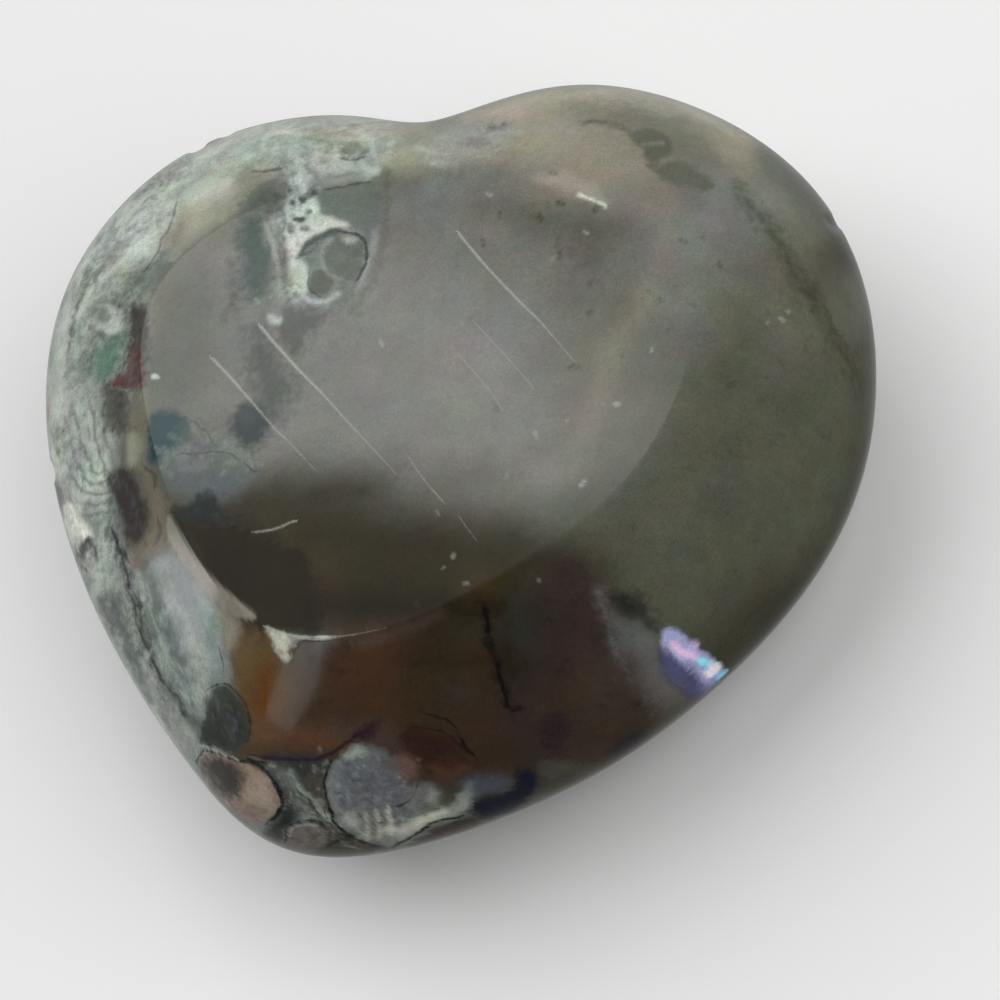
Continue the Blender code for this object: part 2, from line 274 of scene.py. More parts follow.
# Patches with an edge of their own.
PATCHES = {
    # the right-hand side and top
    "glow_vein": stroke("pinkish", [(664, 196), (664, 250), (641, 306), (614, 350), (590, 420),
        (560, 470)], 10, 18, 0.48),
    "tan_spot": oval("tan", (734, 150), (24, 13), 38, 16, 0.9),
    "top_glow": oval("pinkish", (640, 206), (44, 14), 14, 20, 0.6),
    "pink_spot": oval("apricot", (664, 268), (12, 20), 20, 12, 0.25),
    "shoulder_line": stroke("deep_olive", [(734, 186), (750, 206), (767, 230), (782, 250), (794, 272),
        (809, 292), (825, 315), (836, 336), (851, 364), (863, 389)], 4.5, 13, 0.7),
    "shoulder_gleam": stroke("blue_grey", [(723, 172), (724, 195), (712, 225)], 9, 10, 0.6),
    # Painted highlight high on the right shoulder.
    "peak": stroke("veil_pale", [(723, 176), (717, 196), (704, 214)], 4, 8, 0.6),
    "green_band": patch("leaf_green", [(571, 104), (617, 102), (660, 116), (684, 132), (712, 150),
        (724, 168), (716, 190), (690, 184), (655, 170), (640, 146), (618, 130), (584, 124)], 12, 0.6),
    "green_right": oval("leaf_green", (850, 305), (22, 34), -10, 16, 0.4),
    "notch_shell": patch("notch_grey", [(408, 139), (454, 130), (502, 120), (511, 126), (515, 134),
        (493, 145), (472, 156), (458, 167), (443, 169), (430, 165), (419, 156)], 6, 0.85),
    "arris_glint": patch("pale_tan", [(534, 177), (556, 188), (582, 198), (607, 205), (604, 193),
        (590, 180), (560, 172)], 7, 0.35),
    "arris_gleam": stroke("cream", [(582, 191), (596, 197), (606, 202)], 1.6, 5, 0.6),
    # Painted reflection: a pale clump of the mirrored window near its lower edge.
    "table_fleck": oval("veil_pale", (553, 470), (22, 16), -20, 14, 0.7),
    # the table's left part
    "cream_shoulder": patch("cream_olive", [(186, 203), (206, 190), (236, 180), (262, 172), (266, 180),
        (234, 208), (206, 230), (184, 247), (168, 262), (162, 256), (170, 226)], 13),
    "cream_spot": oval("cream", (208, 192), (28, 11), -28, 9, 0.75),
    "cream_lower": stroke("olive_sand", [(214, 234), (186, 256), (168, 278), (156, 304), (154, 326)], 5,
        12, 0.6),
    "slate_head": oval("fern", (258, 198), (20, 15), -20, 12, 0.8),
    "slate_band": patch("slate", [(244, 216), (260, 214), (270, 243), (269, 280), (262, 303), (248, 299),
        (240, 283), (242, 260), (238, 235)], 12),
    "slate_strip": stroke("dark_slate", [(279, 206), (280, 236), (283, 262), (285, 290)], 2, 7, 0.5),
    "slate_left": stroke("dark_slate", [(234, 262), (232, 290), (226, 316)], 3, 8, 0.6),
    "trail_top": patch("dark_slate", [(284, 306), (300, 312), (318, 310), (322, 322), (306, 334),
        (302, 350), (290, 354), (280, 336)], 8, 0.75),
    "slate_trail": patch("dark_slate", [(256, 326), (266, 332), (278, 350), (290, 376), (290, 396),
        (280, 416), (268, 424), (256, 404), (250, 374), (248, 346)], 18, 0.9),
    "grey_wedge": patch("shell_slate", [(318, 190), (345, 186), (371, 181), (381, 181), (379, 222),
        (370, 236), (352, 228), (330, 218), (318, 212)], 4, 0.95),
    "wedge_strip": stroke("shell_grey", [(319, 181), (349, 177), (366, 176)], 4, 5, 0.8),
    "halo": stroke("leaf_dark", [(387, 172), (388, 203), (385, 230), (380, 259), (369, 285), (352, 310)],
        4, 6, 0.65),
    "round_ground": patch("shell_slate", [(306, 240), (340, 226), (370, 238), (376, 262), (362, 290),
        (340, 306), (312, 308), (298, 280)], 8, 0.9),
    "lilac_ground": patch("pale_slate", [(160, 444), (200, 436), (236, 446), (254, 462), (248, 484),
        (222, 498), (186, 498), (164, 484)], 13, 0.9),
    "mossy_swirl": oval("fern", (226, 461), (20, 12), 10, 10, 0.7),
    # the left side
    "rim_cream": stroke("cream", [(200, 158), (221, 145), (241, 135), (262, 127)], 3, 4, 0.85),
    "lobe_panel": patch("shell_grey", [(261, 143), (299, 137), (309, 150), (300, 159), (271, 162),
        (262, 155)], 5, 0.9),
    "lobe_glow": oval("shell_pale", (336, 156), (44, 10), 4, 12, 0.5),
    "lobe_cream": oval("cream_olive", (334, 139), (26, 9), 5, 8, 0.8),
    "pale_shell": patch("white", [(173, 201), (179, 212), (166, 238), (153, 256), (138, 272), (127, 272),
        (128, 254), (116, 258), (106, 258), (108, 243), (128, 226), (150, 209)], 7, 0.75),
    "shell_shadow": patch("shell_slate", [(166, 244), (176, 226), (184, 232), (168, 262), (152, 286),
        (142, 306), (136, 300), (150, 268)], 9, 0.45),
    "rim_bright": stroke("white", [(56, 380), (62, 330), (72, 285), (86, 252), (104, 226)], 3, 6, 0.8),
    # Partly pale shell and partly painted light on the lower left rim.
    "side_pale_lit": oval("shell_pale", (80, 440), (30, 70), -10, 16, 0.5),
    "side_slate": oval("shell_slate", (112, 250), (10, 20), 40, 10, 0.5),
    "streak_upper": stroke("white", [(132, 254), (112, 270), (92, 290), (78, 322)], 3, 5, 0.9),
    "streak_gap": stroke("fern", [(138, 264), (128, 284), (124, 302)], 6, 9, 0.55),
    "streak_gap_left": stroke("fern", [(103, 266), (95, 276), (90, 284)], 3, 5, 0.7),
    "mint": patch("mint", [(126, 328), (123, 346), (116, 371), (103, 384), (91, 376), (88, 364),
        (96, 348), (107, 338)], 8, 0.85),
    "brown_streak": patch("dark_brown", [(130, 303), (141, 299), (149, 306), (150, 330), (148, 352),
        (146, 362), (134, 360), (128, 345), (129, 322)], 6, 0.95),
    "red_dark": patch("dark_brown", [(127, 346), (141, 344), (147, 366), (140, 380), (128, 384),
        (124, 366)], 7, 0.8),
    "oxblood": patch("oxblood", [(110, 380), (122, 372), (134, 360), (145, 358), (147, 372), (143, 387),
        (130, 391), (114, 388)], 5, 0.95),
    "oxblood_streak": stroke("oxblood", [(138, 352), (135, 364), (140, 382)], 4, 6),
    "brown_grey": patch("dark_brown", [(104, 384), (120, 386), (131, 390), (129, 414), (122, 432),
        (110, 430), (100, 414)], 6, 0.85),
    "sand_strip": patch("olive_sand", [(131, 391), (147, 391), (149, 430), (149, 466), (128, 466),
        (124, 440), (127, 414)], 6),
    "sand_bright": oval("cream_olive", (132, 448), (7, 16), 0, 7, 0.7),
    "sand_low": patch("sand", [(146, 468), (160, 490), (172, 516), (160, 548), (142, 566), (124, 562),
        (134, 545), (150, 520)], 8, 0.85),
    "rim_white": patch("bright", [(50, 445), (57, 456), (64, 471), (58, 478), (50, 466)], 4),
    "rim_purple": patch("dark_grey", [(54, 481), (65, 484), (67, 503), (62, 516), (50, 505)], 6, 0.8),
    "cream_wedge": patch("bright", [(68, 502), (80, 510), (90, 526), (94, 536), (84, 538), (74, 546),
        (62, 524)], 4, 0.95),
    "maroon": patch("maroon", [(116, 468), (132, 468), (139, 489), (147, 506), (148, 526), (140, 541),
        (127, 533), (122, 513), (111, 495), (110, 478)], 5, 0.95),
    "grey_side": patch("shell_slate", [(95, 594), (118, 599), (130, 636), (140, 661), (127, 668),
        (110, 641), (96, 616)], 9),
    "vein_shade": stroke("dark_slate", [(112, 530), (121, 556), (130, 590), (141, 626), (152, 655),
        (166, 686), (184, 714)], 2.6, 6, 0.6),
    "pale_knob": oval("shell_pale", (102, 582), (9, 12), 10, 6, 0.9),
    "bevel_shell": patch("shell_blue", [(148, 568), (160, 560), (180, 560), (204, 574), (220, 612),
        (227, 660), (224, 690), (212, 716), (190, 706), (168, 676), (152, 626)], 9),
    # Painted reflection: the bevel's pinkish sheen, up to the arris.
    "bevel_sheen": patch("pinkish", [(168, 536), (184, 530), (206, 560), (238, 616), (236, 640),
        (224, 654), (217, 620), (204, 584), (182, 556)], 8, 0.95),
    "tip_rim_cream": stroke("shell_grey", [(160, 690), (180, 728), (200, 762), (216, 788)], 7, 6),
    # the foot and the tip
    "tip_slate": patch("dark_grey", [(262, 758), (330, 756), (345, 800), (335, 830), (300, 850),
        (265, 838), (282, 808)], 6),
    "tip_net": patch("shell_grey", [(270, 766), (292, 770), (304, 792), (324, 814), (300, 822),
        (288, 806), (284, 786)], 8, 0.35),
    "dark_wedge": patch("leaf_brown", [(329, 826), (345, 832), (366, 840), (396, 848), (390, 862),
        (318, 858)], 5),
    "plum_patch": patch("plum", [(350, 738), (362, 726), (378, 720), (374, 735), (362, 741)], 5, 0.8),
    "foot_grey": patch("shell_grey", [(388, 806), (420, 820), (446, 808), (472, 782), (470, 806),
        (440, 824), (402, 842), (380, 842)], 6, 0.9),
    "foot_purple": patch("purple_brown", [(404, 846), (430, 830), (462, 820), (480, 818), (470, 834),
        (420, 852)], 5),
    "sky_patch": patch("sky_blue", [(462, 782), (485, 776), (508, 780), (500, 794), (480, 800),
        (466, 796)], 10, 0.6),
    "navy_patch": patch("navy", [(472, 806), (486, 795), (510, 787), (517, 770), (533, 772), (535, 790),
        (522, 808), (496, 818), (478, 820)], 7),
    "streaky_green": patch("leaf_brown", [(540, 761), (572, 763), (597, 765), (590, 774), (560, 782),
        (540, 778)], 6, 0.8),
    "loop": patch("mid_grey", [(602, 594), (612, 606), (634, 622), (656, 634), (663, 660), (678, 684),
        (704, 694), (680, 706), (652, 704), (632, 688), (618, 650)], 16, 0.55),
    "loop_edge": stroke("mid_grey", [(600, 592), (605, 612), (614, 642), (630, 678), (650, 702)], 2, 4,
        0.75),
    "loop_core": oval("mid_grey", (652, 650), (10, 34), -25, 16, 0.6),
    "loop_lens": oval("purple_brown", (634, 676), (8, 26), -20, 14, 0.7),
    "loop_shade": patch("ink", [(608, 597), (622, 592), (640, 598), (652, 610), (658, 632), (646, 630),
        (630, 620), (616, 612)], 10, 0.85),
    "rim_plum": oval("navy", (630, 742), (26, 8), -32, 8, 0.6),
    "deep_red": patch("blood", [(402, 726), (424, 728), (450, 738), (470, 756), (458, 772), (430, 772),
        (408, 752)], 8, 0.7),
    "red_glow": oval("rust", (452, 763), (14, 8), 20, 8, 0.5),
    "red_light": stroke("brick", [(432, 768), (450, 774), (466, 766)], 4, 7, 0.6),
    "mauve_oval": oval("mauve", (554, 731), (14, 20), 5, 8, 0.8),
    "vein_cloud": oval("black_olive", (490, 606), (14, 12), 30, 8, 0.4),
    "vein_right": oval("dark_slate", (518, 622), (16, 30), -12, 16, 0.3),
    "black_vein": stroke("pitch", [(477, 597), (481, 611), (487, 624), (490, 640), (495, 660), (500, 680),
        (509, 704)], 2.6, 7, 0.85),
    "vein_blot": oval("pitch", (518, 707), (5, 2.6), -25, 4, 0.8),
    # Painted sheen: faint pale pink where the bevel's reflection reaches the body.
    "body_sheen": oval("dusty_pink", (300, 672), (16, 32), 12, 14, 0.25),
    "chip_glow": patch("lilac_grey", [(276, 634), (306, 639), (336, 639), (326, 650), (308, 662),
        (292, 670), (286, 660)], 12, 0.5),
    "net_one": stroke("shell_grey", [(290, 770), (298, 789), (312, 804), (328, 817)], 1.8, 4, 0.8),
    "net_two": stroke("shell_grey", [(330, 817), (312, 816), (296, 822), (286, 834), (285, 846)], 1.2, 4,
        0.7),
    "net_three": stroke("taupe", [(252, 760), (276, 767), (288, 784), (291, 806)], 1.8, 5, 0.8),
    "net_four": stroke("shell_grey", [(328, 818), (346, 829), (360, 837)], 1.5, 4, 0.6),
    "net_dark": oval("charcoal", (288, 818), (9, 12), 30, 6, 0.8),
}

# Patches along the arris of the table, whose edge is a true curve.
ARRIS_PATCHES = {
    "dark_corner": patch("black_olive", [(170, 510), (215, 520), (262, 534), (310, 560), (320, 629),
        (290, 634), (262, 634), (232, 612), (206, 592), (182, 560)], 10, 0.95),
    "arris_sheen": patch("pinkish", [(168, 514), (173, 521), (191, 552), (216, 581), (238, 600),
        (256, 616), (246, 620), (230, 613), (206, 594), (183, 564), (166, 532)], 2, 0.95),
}

# Fossils and clear-edged pieces, over the patches.
FOSSILS = {
    "lumpy_cream": patch("white", [(292, 176), (314, 178), (308, 190), (317, 202), (319, 214), (336, 219),
        (349, 224), (336, 230), (317, 234), (304, 242), (297, 258), (307, 268), (308, 288), (300, 300),
        (291, 296), (288, 264), (287, 244), (285, 218), (286, 198)], 4, 0.85),
    "white_bar": patch("shell_pale", [(319, 168), (327, 163), (350, 161), (374, 164), (379, 169),
        (372, 175), (352, 171), (330, 173), (320, 177)], 4, 0.95),
    "pale_arc": stroke("white", [(263, 141), (272, 134), (286, 131), (301, 135)], 2, 3, 0.8),
    "lobe_oval": oval("leaf_green", (355, 151), (15, 8), 8, 4, 0.8),
    "round_shell": oval("fern", (345, 257), (20, 23), 20, 3),
    "lower_lobe": oval("moss", (321, 281), (11, 14), 15, 3),
    "pale_crescent": stroke("shell_grey", [(374, 232), (371, 258), (356, 288)], 2.5, 4, 0.6),
    "white_swirl": stroke("white", [(300, 294), (312, 302), (326, 302), (338, 293)], 2.5, 4, 0.7),
    "knot": oval("white", (273, 320), (7, 3.5), 12, 4, 0.75),
    "slate_dot": oval("dark_olive", (236, 300), (3, 10), 6, 6, 0.6),
    "slate_dot_top": oval("moss", (271, 208), (5, 10), 10, 6, 0.8),
    "side_fleck": stroke("shell_pale", [(265, 226), (272, 238), (277, 262), (279, 284)], 1.5, 4, 0.6),
    "blue_oval": patch("blue_slate", [(149, 418), (164, 411), (180, 415), (189, 428), (180, 442),
        (166, 456), (151, 462)], 5),
    "slate_oval": oval("deep_slate", (250, 425), (19, 22), 5, 8),
    "coil_shade": oval("fern", (110, 319), (21, 22), 8, 6, 0.55),
    "coil_ground": oval("white", (109, 320), (15, 16), 8, 4),
    "coil": oval("fern", (104, 315), (6.5, 8), -20, 3),
    "coil_side": stroke("fern", [(107, 328), (115, 323), (117, 313)], 1.2, 3, 0.6),
    "rim_arc": stroke("white", [(84, 264), (74, 292), (67, 320), (63, 350), (60, 378)], 2.2, 3, 0.9),
    "rim_gap": stroke("fern", [(90, 270), (80, 296), (73, 322), (68, 352)], 1.8, 3, 0.8),
    "rim_arc_inner": stroke("white", [(92, 284), (83, 306), (78, 328), (75, 350)], 1.5, 3, 0.8),
    "charcoal": patch("charcoal", [(176, 514), (188, 504), (200, 492), (212, 493), (220, 506), (221, 517),
        (206, 516), (190, 513)], 4),
    "rim_oval": oval("dark_slate", (89, 551), (10, 16), -12, 4),
    "shell_core": oval("shell_slate", (180, 585), (13, 20), -10, 9, 0.7),
    "shell_flecks": stroke("shell_pale", [(176, 600), (184, 622), (196, 644)], 1.5, 6, 0.5),
    "shell_mottle": oval("shell_slate", (196, 612), (7, 18), -24, 9, 0.5),
    "shell_mottle_low": oval("shell_slate", (176, 660), (8, 14), -24, 9, 0.5),
    "shell_foot": oval("shell_pale", (200, 694), (9, 16), -10, 9, 0.5),
    "moss_oval": patch("moss_black", [(213, 689), (223, 684), (235, 690), (245, 701), (250, 716),
        (251, 733), (246, 746), (234, 752), (218, 748), (206, 746), (199, 733), (206, 718)], 4, 0.95),
    "tip_fossil": patch("pink_tan", [(200, 766), (205, 756), (218, 755), (236, 763), (252, 766),
        (266, 775), (276, 788), (279, 800), (274, 814), (262, 824), (248, 822), (232, 812), (216, 798),
        (204, 782)], 3),
    "leaf": patch("leaf_brown", [(304, 776), (318, 766), (327, 770), (327, 789), (330, 807), (321, 806),
        (311, 796), (302, 786)], 3),
    "taupe_oval": oval("taupe", (307, 837), (21, 14), -8, 3),
    "big_fossil": oval("lilac_grey", (366, 790), (41, 44), 8, 5, 0.95),
    "ribs_ground": oval("taupe", (374, 826), (26, 13), 5, 7),
    "grey_oval": oval("mid_grey", (417, 801), (25, 15), -24, 5, 0.9),
    "low_cream": stroke("cream", [(388, 830), (404, 830), (424, 822), (442, 811)], 4, 5, 0.9),
    "leaf_dark": patch("leaf_dark", [(649, 169), (664, 166), (688, 166), (704, 175), (714, 184),
        (704, 191), (686, 186), (664, 178)], 4, 0.9),
    "dark_nape": patch("leaf_dark", [(630, 131), (650, 130), (668, 136), (672, 147), (667, 158),
        (652, 166), (646, 150), (638, 144)], 3, 0.9),
    "nape_line": stroke("leaf_dark", [(583, 123), (610, 124), (630, 134), (646, 150), (655, 168)], 2.2, 3,
        0.9),
    "nacre": patch("nacre_blue", [(662, 632), (674, 630), (687, 639), (700, 649), (713, 660), (726, 671),
        (717, 683), (700, 693), (682, 688), (669, 671), (662, 650)], 4),
    # The chip: partly the paler rough stone of the worn place, partly a painted highlight, brightest in the
    # line along the arris.
    "chip": patch("cream", [(267, 627), (280, 632), (298, 637), (292, 643), (289, 650), (287, 660),
        (281, 651), (274, 639)], 5, 0.6),
    "chip_glint": stroke("bright", [(277, 630), (299, 637), (313, 639), (331, 638)], 0.6, 2, 0.8),
    "nick": oval("ink", (833, 221), (11, 5), 42, 5, 0.9),
}

# Cores and light pieces inside the fossils.
CORES = {
    "coil_eye": stroke("shell_grey", [(103, 319), (106, 317), (106, 312)], 1.2, 3, 0.6),
    "pit_long": stroke("dark_slate", [(300, 198), (308, 193), (314, 190)], 3, 3),
    "pit_left": oval("dark_slate", (291, 202), (4, 4), 0, 3),
    "pit_low": oval("dark_slate", (300, 220), (6, 4), 10, 3),
    "pit_top": oval("fern", (289, 190), (3, 4), 20, 3, 0.9),
    "pit_middle": oval("fern", (307, 210), (4, 3), -30, 3, 0.9),
    "pit_small": oval("dark_slate", (292, 231), (2.5, 3.5), 20, 3, 0.8),
    "pit_right": oval("fern", (303, 231), (4, 2.5), -20, 3, 0.8),
    "white_shade": oval("cream_olive", (290, 276), (5, 12), 4, 7, 0.7),
    "white_foot": oval("fern", (296, 296), (6, 4), 20, 4, 0.7),
    "pit_edge": stroke("fern", [(283, 212), (286, 226), (284, 240)], 1.5, 3, 0.8),
    "dark_crescent": patch("slate", [(294, 261), (302, 247), (316, 236), (334, 230), (342, 232),
        (323, 242), (308, 256)], 3),
    "crescent_pale": stroke("shell_grey", [(306, 253), (314, 246), (322, 241)], 0.7, 3, 0.7),
    "shell_light": oval("shell_pale", (350, 240), (7, 3), 10, 4, 0.6),
    "shell_mossy": oval("moss", (352, 254), (8, 6), 30, 6, 0.6),
    "shell_mossy_low": oval("moss", (339, 268), (6, 5), -20, 5, 0.6),
    "shell_ring": stroke("shell_grey", [(332, 240), (325, 250), (324, 262), (330, 272), (340, 276)], 1.2,
        3, 0.7),
    "inner_ring": stroke("shell_slate", [(334, 244), (326, 256), (328, 270), (338, 278)], 1.5, 3, 0.8),
    "wedge_sheen": oval("shell_slate", (364, 218), (8, 12), 0, 9, 0.6),
    "oval_core": oval("white", (90, 558), (4, 8), -10, 4, 0.9),
    "tip_olive": patch("charcoal", [(202, 766), (216, 758), (236, 766), (242, 782), (232, 798),
        (214, 792)], 9, 0.9),
    "tip_glow": oval("pale_pink", (263, 788), (6, 13), -18, 8, 0.6),
    "moss_light": oval("charcoal", (216, 736), (13, 12), -10, 8, 0.8),
    "moss_dark": stroke("ink", [(208, 700), (216, 712), (220, 726)], 2, 6, 0.7),
    "moss_dark_right": stroke("ink", [(232, 704), (238, 716), (242, 732)], 2, 6, 0.7),
    "moss_glint": oval("sky_blue", (236, 720), (2, 6), -20, 4, 0.8),
    "fossil_top": stroke("shell_pale", [(344, 757), (354, 753), (364, 752)], 2.5, 6, 0.8),
    "fossil_left": stroke("shell_grey", [(332, 774), (329, 792), (338, 810)], 2, 7, 0.6),
    "fossil_foot": oval("white", (353, 820), (9, 6), 30, 7, 0.7),
    "fossil_rose": oval("rose", (404, 768), (12, 14), -20, 10, 0.85),
    "fossil_lilac": oval("lilac", (378, 778), (16, 14), 0, 10, 0.5),
    "fossil_pink": oval("dusty_pink", (390, 764), (12, 8), 20, 9, 0.8),
    "fossil_dark": oval("dark_slate", (360, 786), (8, 12), 30, 9, 0.5),
    "rib_one": stroke("cream", [(367, 814), (370, 826), (369, 838)], 2, 4, 0.9),
    "rib_two": stroke("cream", [(378, 810), (381, 824), (380, 838)], 2, 4, 0.9),
    "rib_three": stroke("cream", [(388, 806), (391, 818), (392, 834)], 2.2, 3, 0.9),
    "rib_four": stroke("shell_pale", [(358, 824), (362, 834)], 1.5, 3, 0.8),
    "grey_oval_light": oval("shell_grey", (432, 797), (4, 7), 10, 5, 0.9),
    "nacre_deep": patch("indigo", [(663, 646), (672, 652), (684, 663), (697, 676), (708, 690), (694, 698),
        (678, 690), (662, 670), (656, 652)], 7, 0.92),
    "nacre_rose": stroke("nacre_pink", [(675, 645), (682, 652), (694, 656)], 3.5, 4),
    "nacre_rose_top": oval("nacre_pink", (694, 646), (4, 5), 30, 4, 0.5),
    "nacre_sea": oval("nacre_cyan", (702, 662), (6, 4), 20),
    "nacre_light": oval("nacre_white", (713, 671), (11, 6), -35, 4),
    "nacre_rim": stroke("nacre_cyan", [(717, 682), (729, 672)], 1.2),
    "glint_bright": stroke("bright", [(580, 194), (594, 199), (605, 204)], 1.2, 3, 0.8),
    "notch_light": stroke("shell_pale", [(414, 149), (434, 152), (450, 156)], 1.2, 3, 0.6),
    "notch_light_low": stroke("shell_pale", [(432, 163), (450, 161)], 1.2, 3, 0.4),
    "notch_dark": oval("mid_grey", (475, 143), (13, 3.5), -10, 5, 0.6),
    "notch_dark_top": oval("dark_grey", (500, 126), (10, 3), -20, 5, 0.6),
    "nape_light": stroke("shell_grey", [(645, 146), (655, 144), (664, 143)], 0.8, 3, 0.5),
    # Painted glint on the table's left edge.
    "left_glint": oval("white", (155, 378), (4, 1.8), 15),
    "maroon_black": oval("ink", (109, 484), (4, 9), -10, 5, 0.8),
    "maroon_black_low": oval("ink", (121, 507), (3, 8), -20, 5, 0.7),
    "bevel_dark": oval("shell_slate", (156, 592), (8, 24), -10, 6, 0.8),
    "bevel_dark_low": oval("shell_slate", (174, 630), (14, 13), 20, 8, 0.75),
    # Painted highlight on the bevel's lower part.
    "bevel_highlight": oval("shell_pale", (196, 660), (9, 24), -12, 8, 0.6),
    "bevel_crescent": stroke("fern", [(153, 592), (158, 578), (167, 578), (171, 594)], 2, 4, 0.7),
    "bevel_crescent_low": stroke("fern", [(152, 604), (157, 624), (165, 642)], 2.5, 5, 0.7),
    "bevel_cloud": oval("fern", (182, 637), (4, 3), 40, 4, 0.8),
    "bevel_cloud_low": oval("fern", (180, 658), (8, 5), 30, 6, 0.6),
    "bevel_streak": stroke("white", [(160, 634), (170, 660), (192, 675)], 1.2, 4, 0.6),
    "bevel_streak_low": stroke("white", [(176, 690), (186, 698), (198, 702)], 2, 5, 0.7),
    "bevel_dark_foot": oval("shell_slate", (170, 690), (8, 14), -34, 8, 0.8),
    "bevel_dark_side": oval("shell_slate", (140, 622), (5, 24), -12, 8, 0.8),
    # Painted sheen: lavender where the bevel mirrors the light.
    "bevel_highlight_top": oval("lavender", (185, 592), (9, 22), -8, 8, 0.75),
    "lilac_light": oval("lavender", (190, 464), (15, 8), 10, 8, 0.7),
    "slate_oval_light": oval("dark_slate", (246, 417), (8, 6), 20, 7, 0.6),
    "blue_oval_green": oval("fern", (182, 432), (5, 10), 10, 7, 0.5),
}

# Thin lines: seams, growth lines and outlines.
LINES = {
    "shell_seam": line("charcoal", [(177, 200), (172, 222), (158, 248), (144, 270)], 0.7, 0.6),
    "vein_top": line("charcoal", [(112, 530), (118, 545), (121, 556)], 2),
    "vein_upper": line("charcoal", [(122, 560), (127, 574), (129, 586)], 1.6, 0.8),
    "vein_middle": line("charcoal", [(128, 590), (132, 604), (135, 618)], 1.6, 0.8),
    "vein_broad": line("charcoal", [(136, 622), (142, 636), (149, 652)], 1.6, 0.8),
    "vein_lower": line("charcoal", [(151, 656), (158, 672), (166, 686)], 1.8, 0.9),
    "vein_foot": line("charcoal", [(168, 688), (177, 698), (184, 714)], 1.5, 0.8),
    "vein_beside": line("charcoal", [(123, 546), (130, 566)], 1, 0.8),
    "vein_beside_low": line("charcoal", [(136, 590), (139, 608)], 1.3, 0.7),
    "round_rim": line("ink", [(338, 233), (353, 234), (364, 242), (368, 254), (364, 268), (353, 280)],
        1.5),
    "lobe_rim": line("charcoal", [(310, 274), (311, 290), (321, 297)], 0.9, 0.8),
    "wedge_top": line("charcoal", [(323, 188), (345, 185), (371, 181)], 0.9, 0.7),
    "lobe_oval_rim": line("dark_grey", [(341, 158), (354, 161), (368, 157)], 0.9, 0.7),
    "lobe_streak": line("dark_grey", [(251, 173), (266, 170), (282, 166)], 1.2, 0.7),
    "growth_one": line("charcoal", [(187, 419), (203, 428), (212, 436), (217, 443)], 0.6, 0.7),
    "growth_two": line("charcoal", [(173, 458), (181, 453), (197, 451), (214, 451), (231, 452),
        (245, 459), (254, 468)], 0.6, 0.7),
    "charcoal_tail": line("charcoal", [(170, 513), (190, 516), (222, 518), (247, 515)], 1.4, 0.9),
    "charcoal_low": line("charcoal", [(174, 512), (188, 521), (206, 525), (228, 523)], 1.1, 0.8),
    "brown_curve": line("maroon", [(158, 519), (160, 533), (154, 547)], 1.5, 0.6),
    "brown_flecks": line("dark_brown", [(147, 466), (154, 476), (154, 491)], 1.8, 0.7),
    "bevel_edge": line("charcoal", [(217, 650), (221, 660), (221, 672)], 1.2, 0.7),
    "rim_oval_edge": line("charcoal", [(80, 548), (79, 560), (86, 572)], 1.2, 0.8),
    "bevel_rim": line("shell_pale", [(147, 580), (153, 620), (165, 655), (183, 690)], 1.3, 0.45),
    "tip_side": line("ink", [(272, 778), (280, 794), (279, 810), (270, 822)], 2.4),
    "taupe_rim": line("shell_grey", [(290, 838), (295, 828), (306, 823), (320, 825)], 1.4, 0.8),
    "taupe_outline": line("ink", [(286, 842), (288, 830), (298, 820), (312, 818), (326, 824)], 1.1, 0.9),
    "wedge_outline": line("ink", [(326, 852), (334, 842), (348, 838), (362, 842), (372, 852)], 1.1, 0.8),
    "tip_outline": line("ink", [(200, 768), (198, 760), (205, 753), (218, 754), (236, 762), (252, 764),
        (267, 773), (277, 786), (280, 800), (277, 814), (268, 824)], 1.6),
    "moss_cream": line("shell_pale", [(202, 746), (212, 750), (226, 756), (240, 762)], 1.4, 0.8),
    "moss_edge": line("ink", [(208, 690), (222, 683), (236, 689), (248, 704), (252, 724), (248, 744)], 1,
        0.8),
    "net_dark": line("ink", [(294, 788), (306, 803), (322, 817)], 0.8, 0.9),
    "fossil_outline": line("ink", [(329, 764), (324, 780), (325, 800), (334, 820), (346, 834), (360, 841),
        (376, 845), (392, 847)], 1.4),
    "fossil_ring": line("charcoal", [(417, 785), (413, 797), (401, 804), (386, 804)], 0.9, 0.7),
    "foot_outline": line("ink", [(390, 847), (406, 838), (430, 827), (446, 820), (464, 817)], 1.4),
    "dark_seam": line("plum", [(252, 757), (280, 759), (321, 757), (350, 742), (366, 730)], 1.8, 0.9),
    "red_arc": line("pitch", [(427, 713), (435, 716), (446, 721), (457, 730)], 1.2, 0.8),
    "red_arc_low": line("pitch", [(461, 736), (467, 747), (476, 755)], 1.6, 0.8),
    "red_outline": line("pitch", [(398, 740), (408, 730), (426, 727), (446, 734), (462, 748)], 0.8, 0.5),
    "red_arc_inner": line("plum", [(404, 738), (422, 736), (438, 748), (446, 764)], 1.2, 0.7),
    "vein_dark": line("pitch", [(480, 608), (487, 622), (491, 636)], 2.4, 0.9),
    "vein_dark_low": line("pitch", [(495, 662), (500, 679), (505, 694), (510, 704)], 2.2, 0.9),
    "rim_seam": line("charcoal", [(198, 149), (220, 137), (243, 128), (268, 123)], 0.9, 0.7),
}

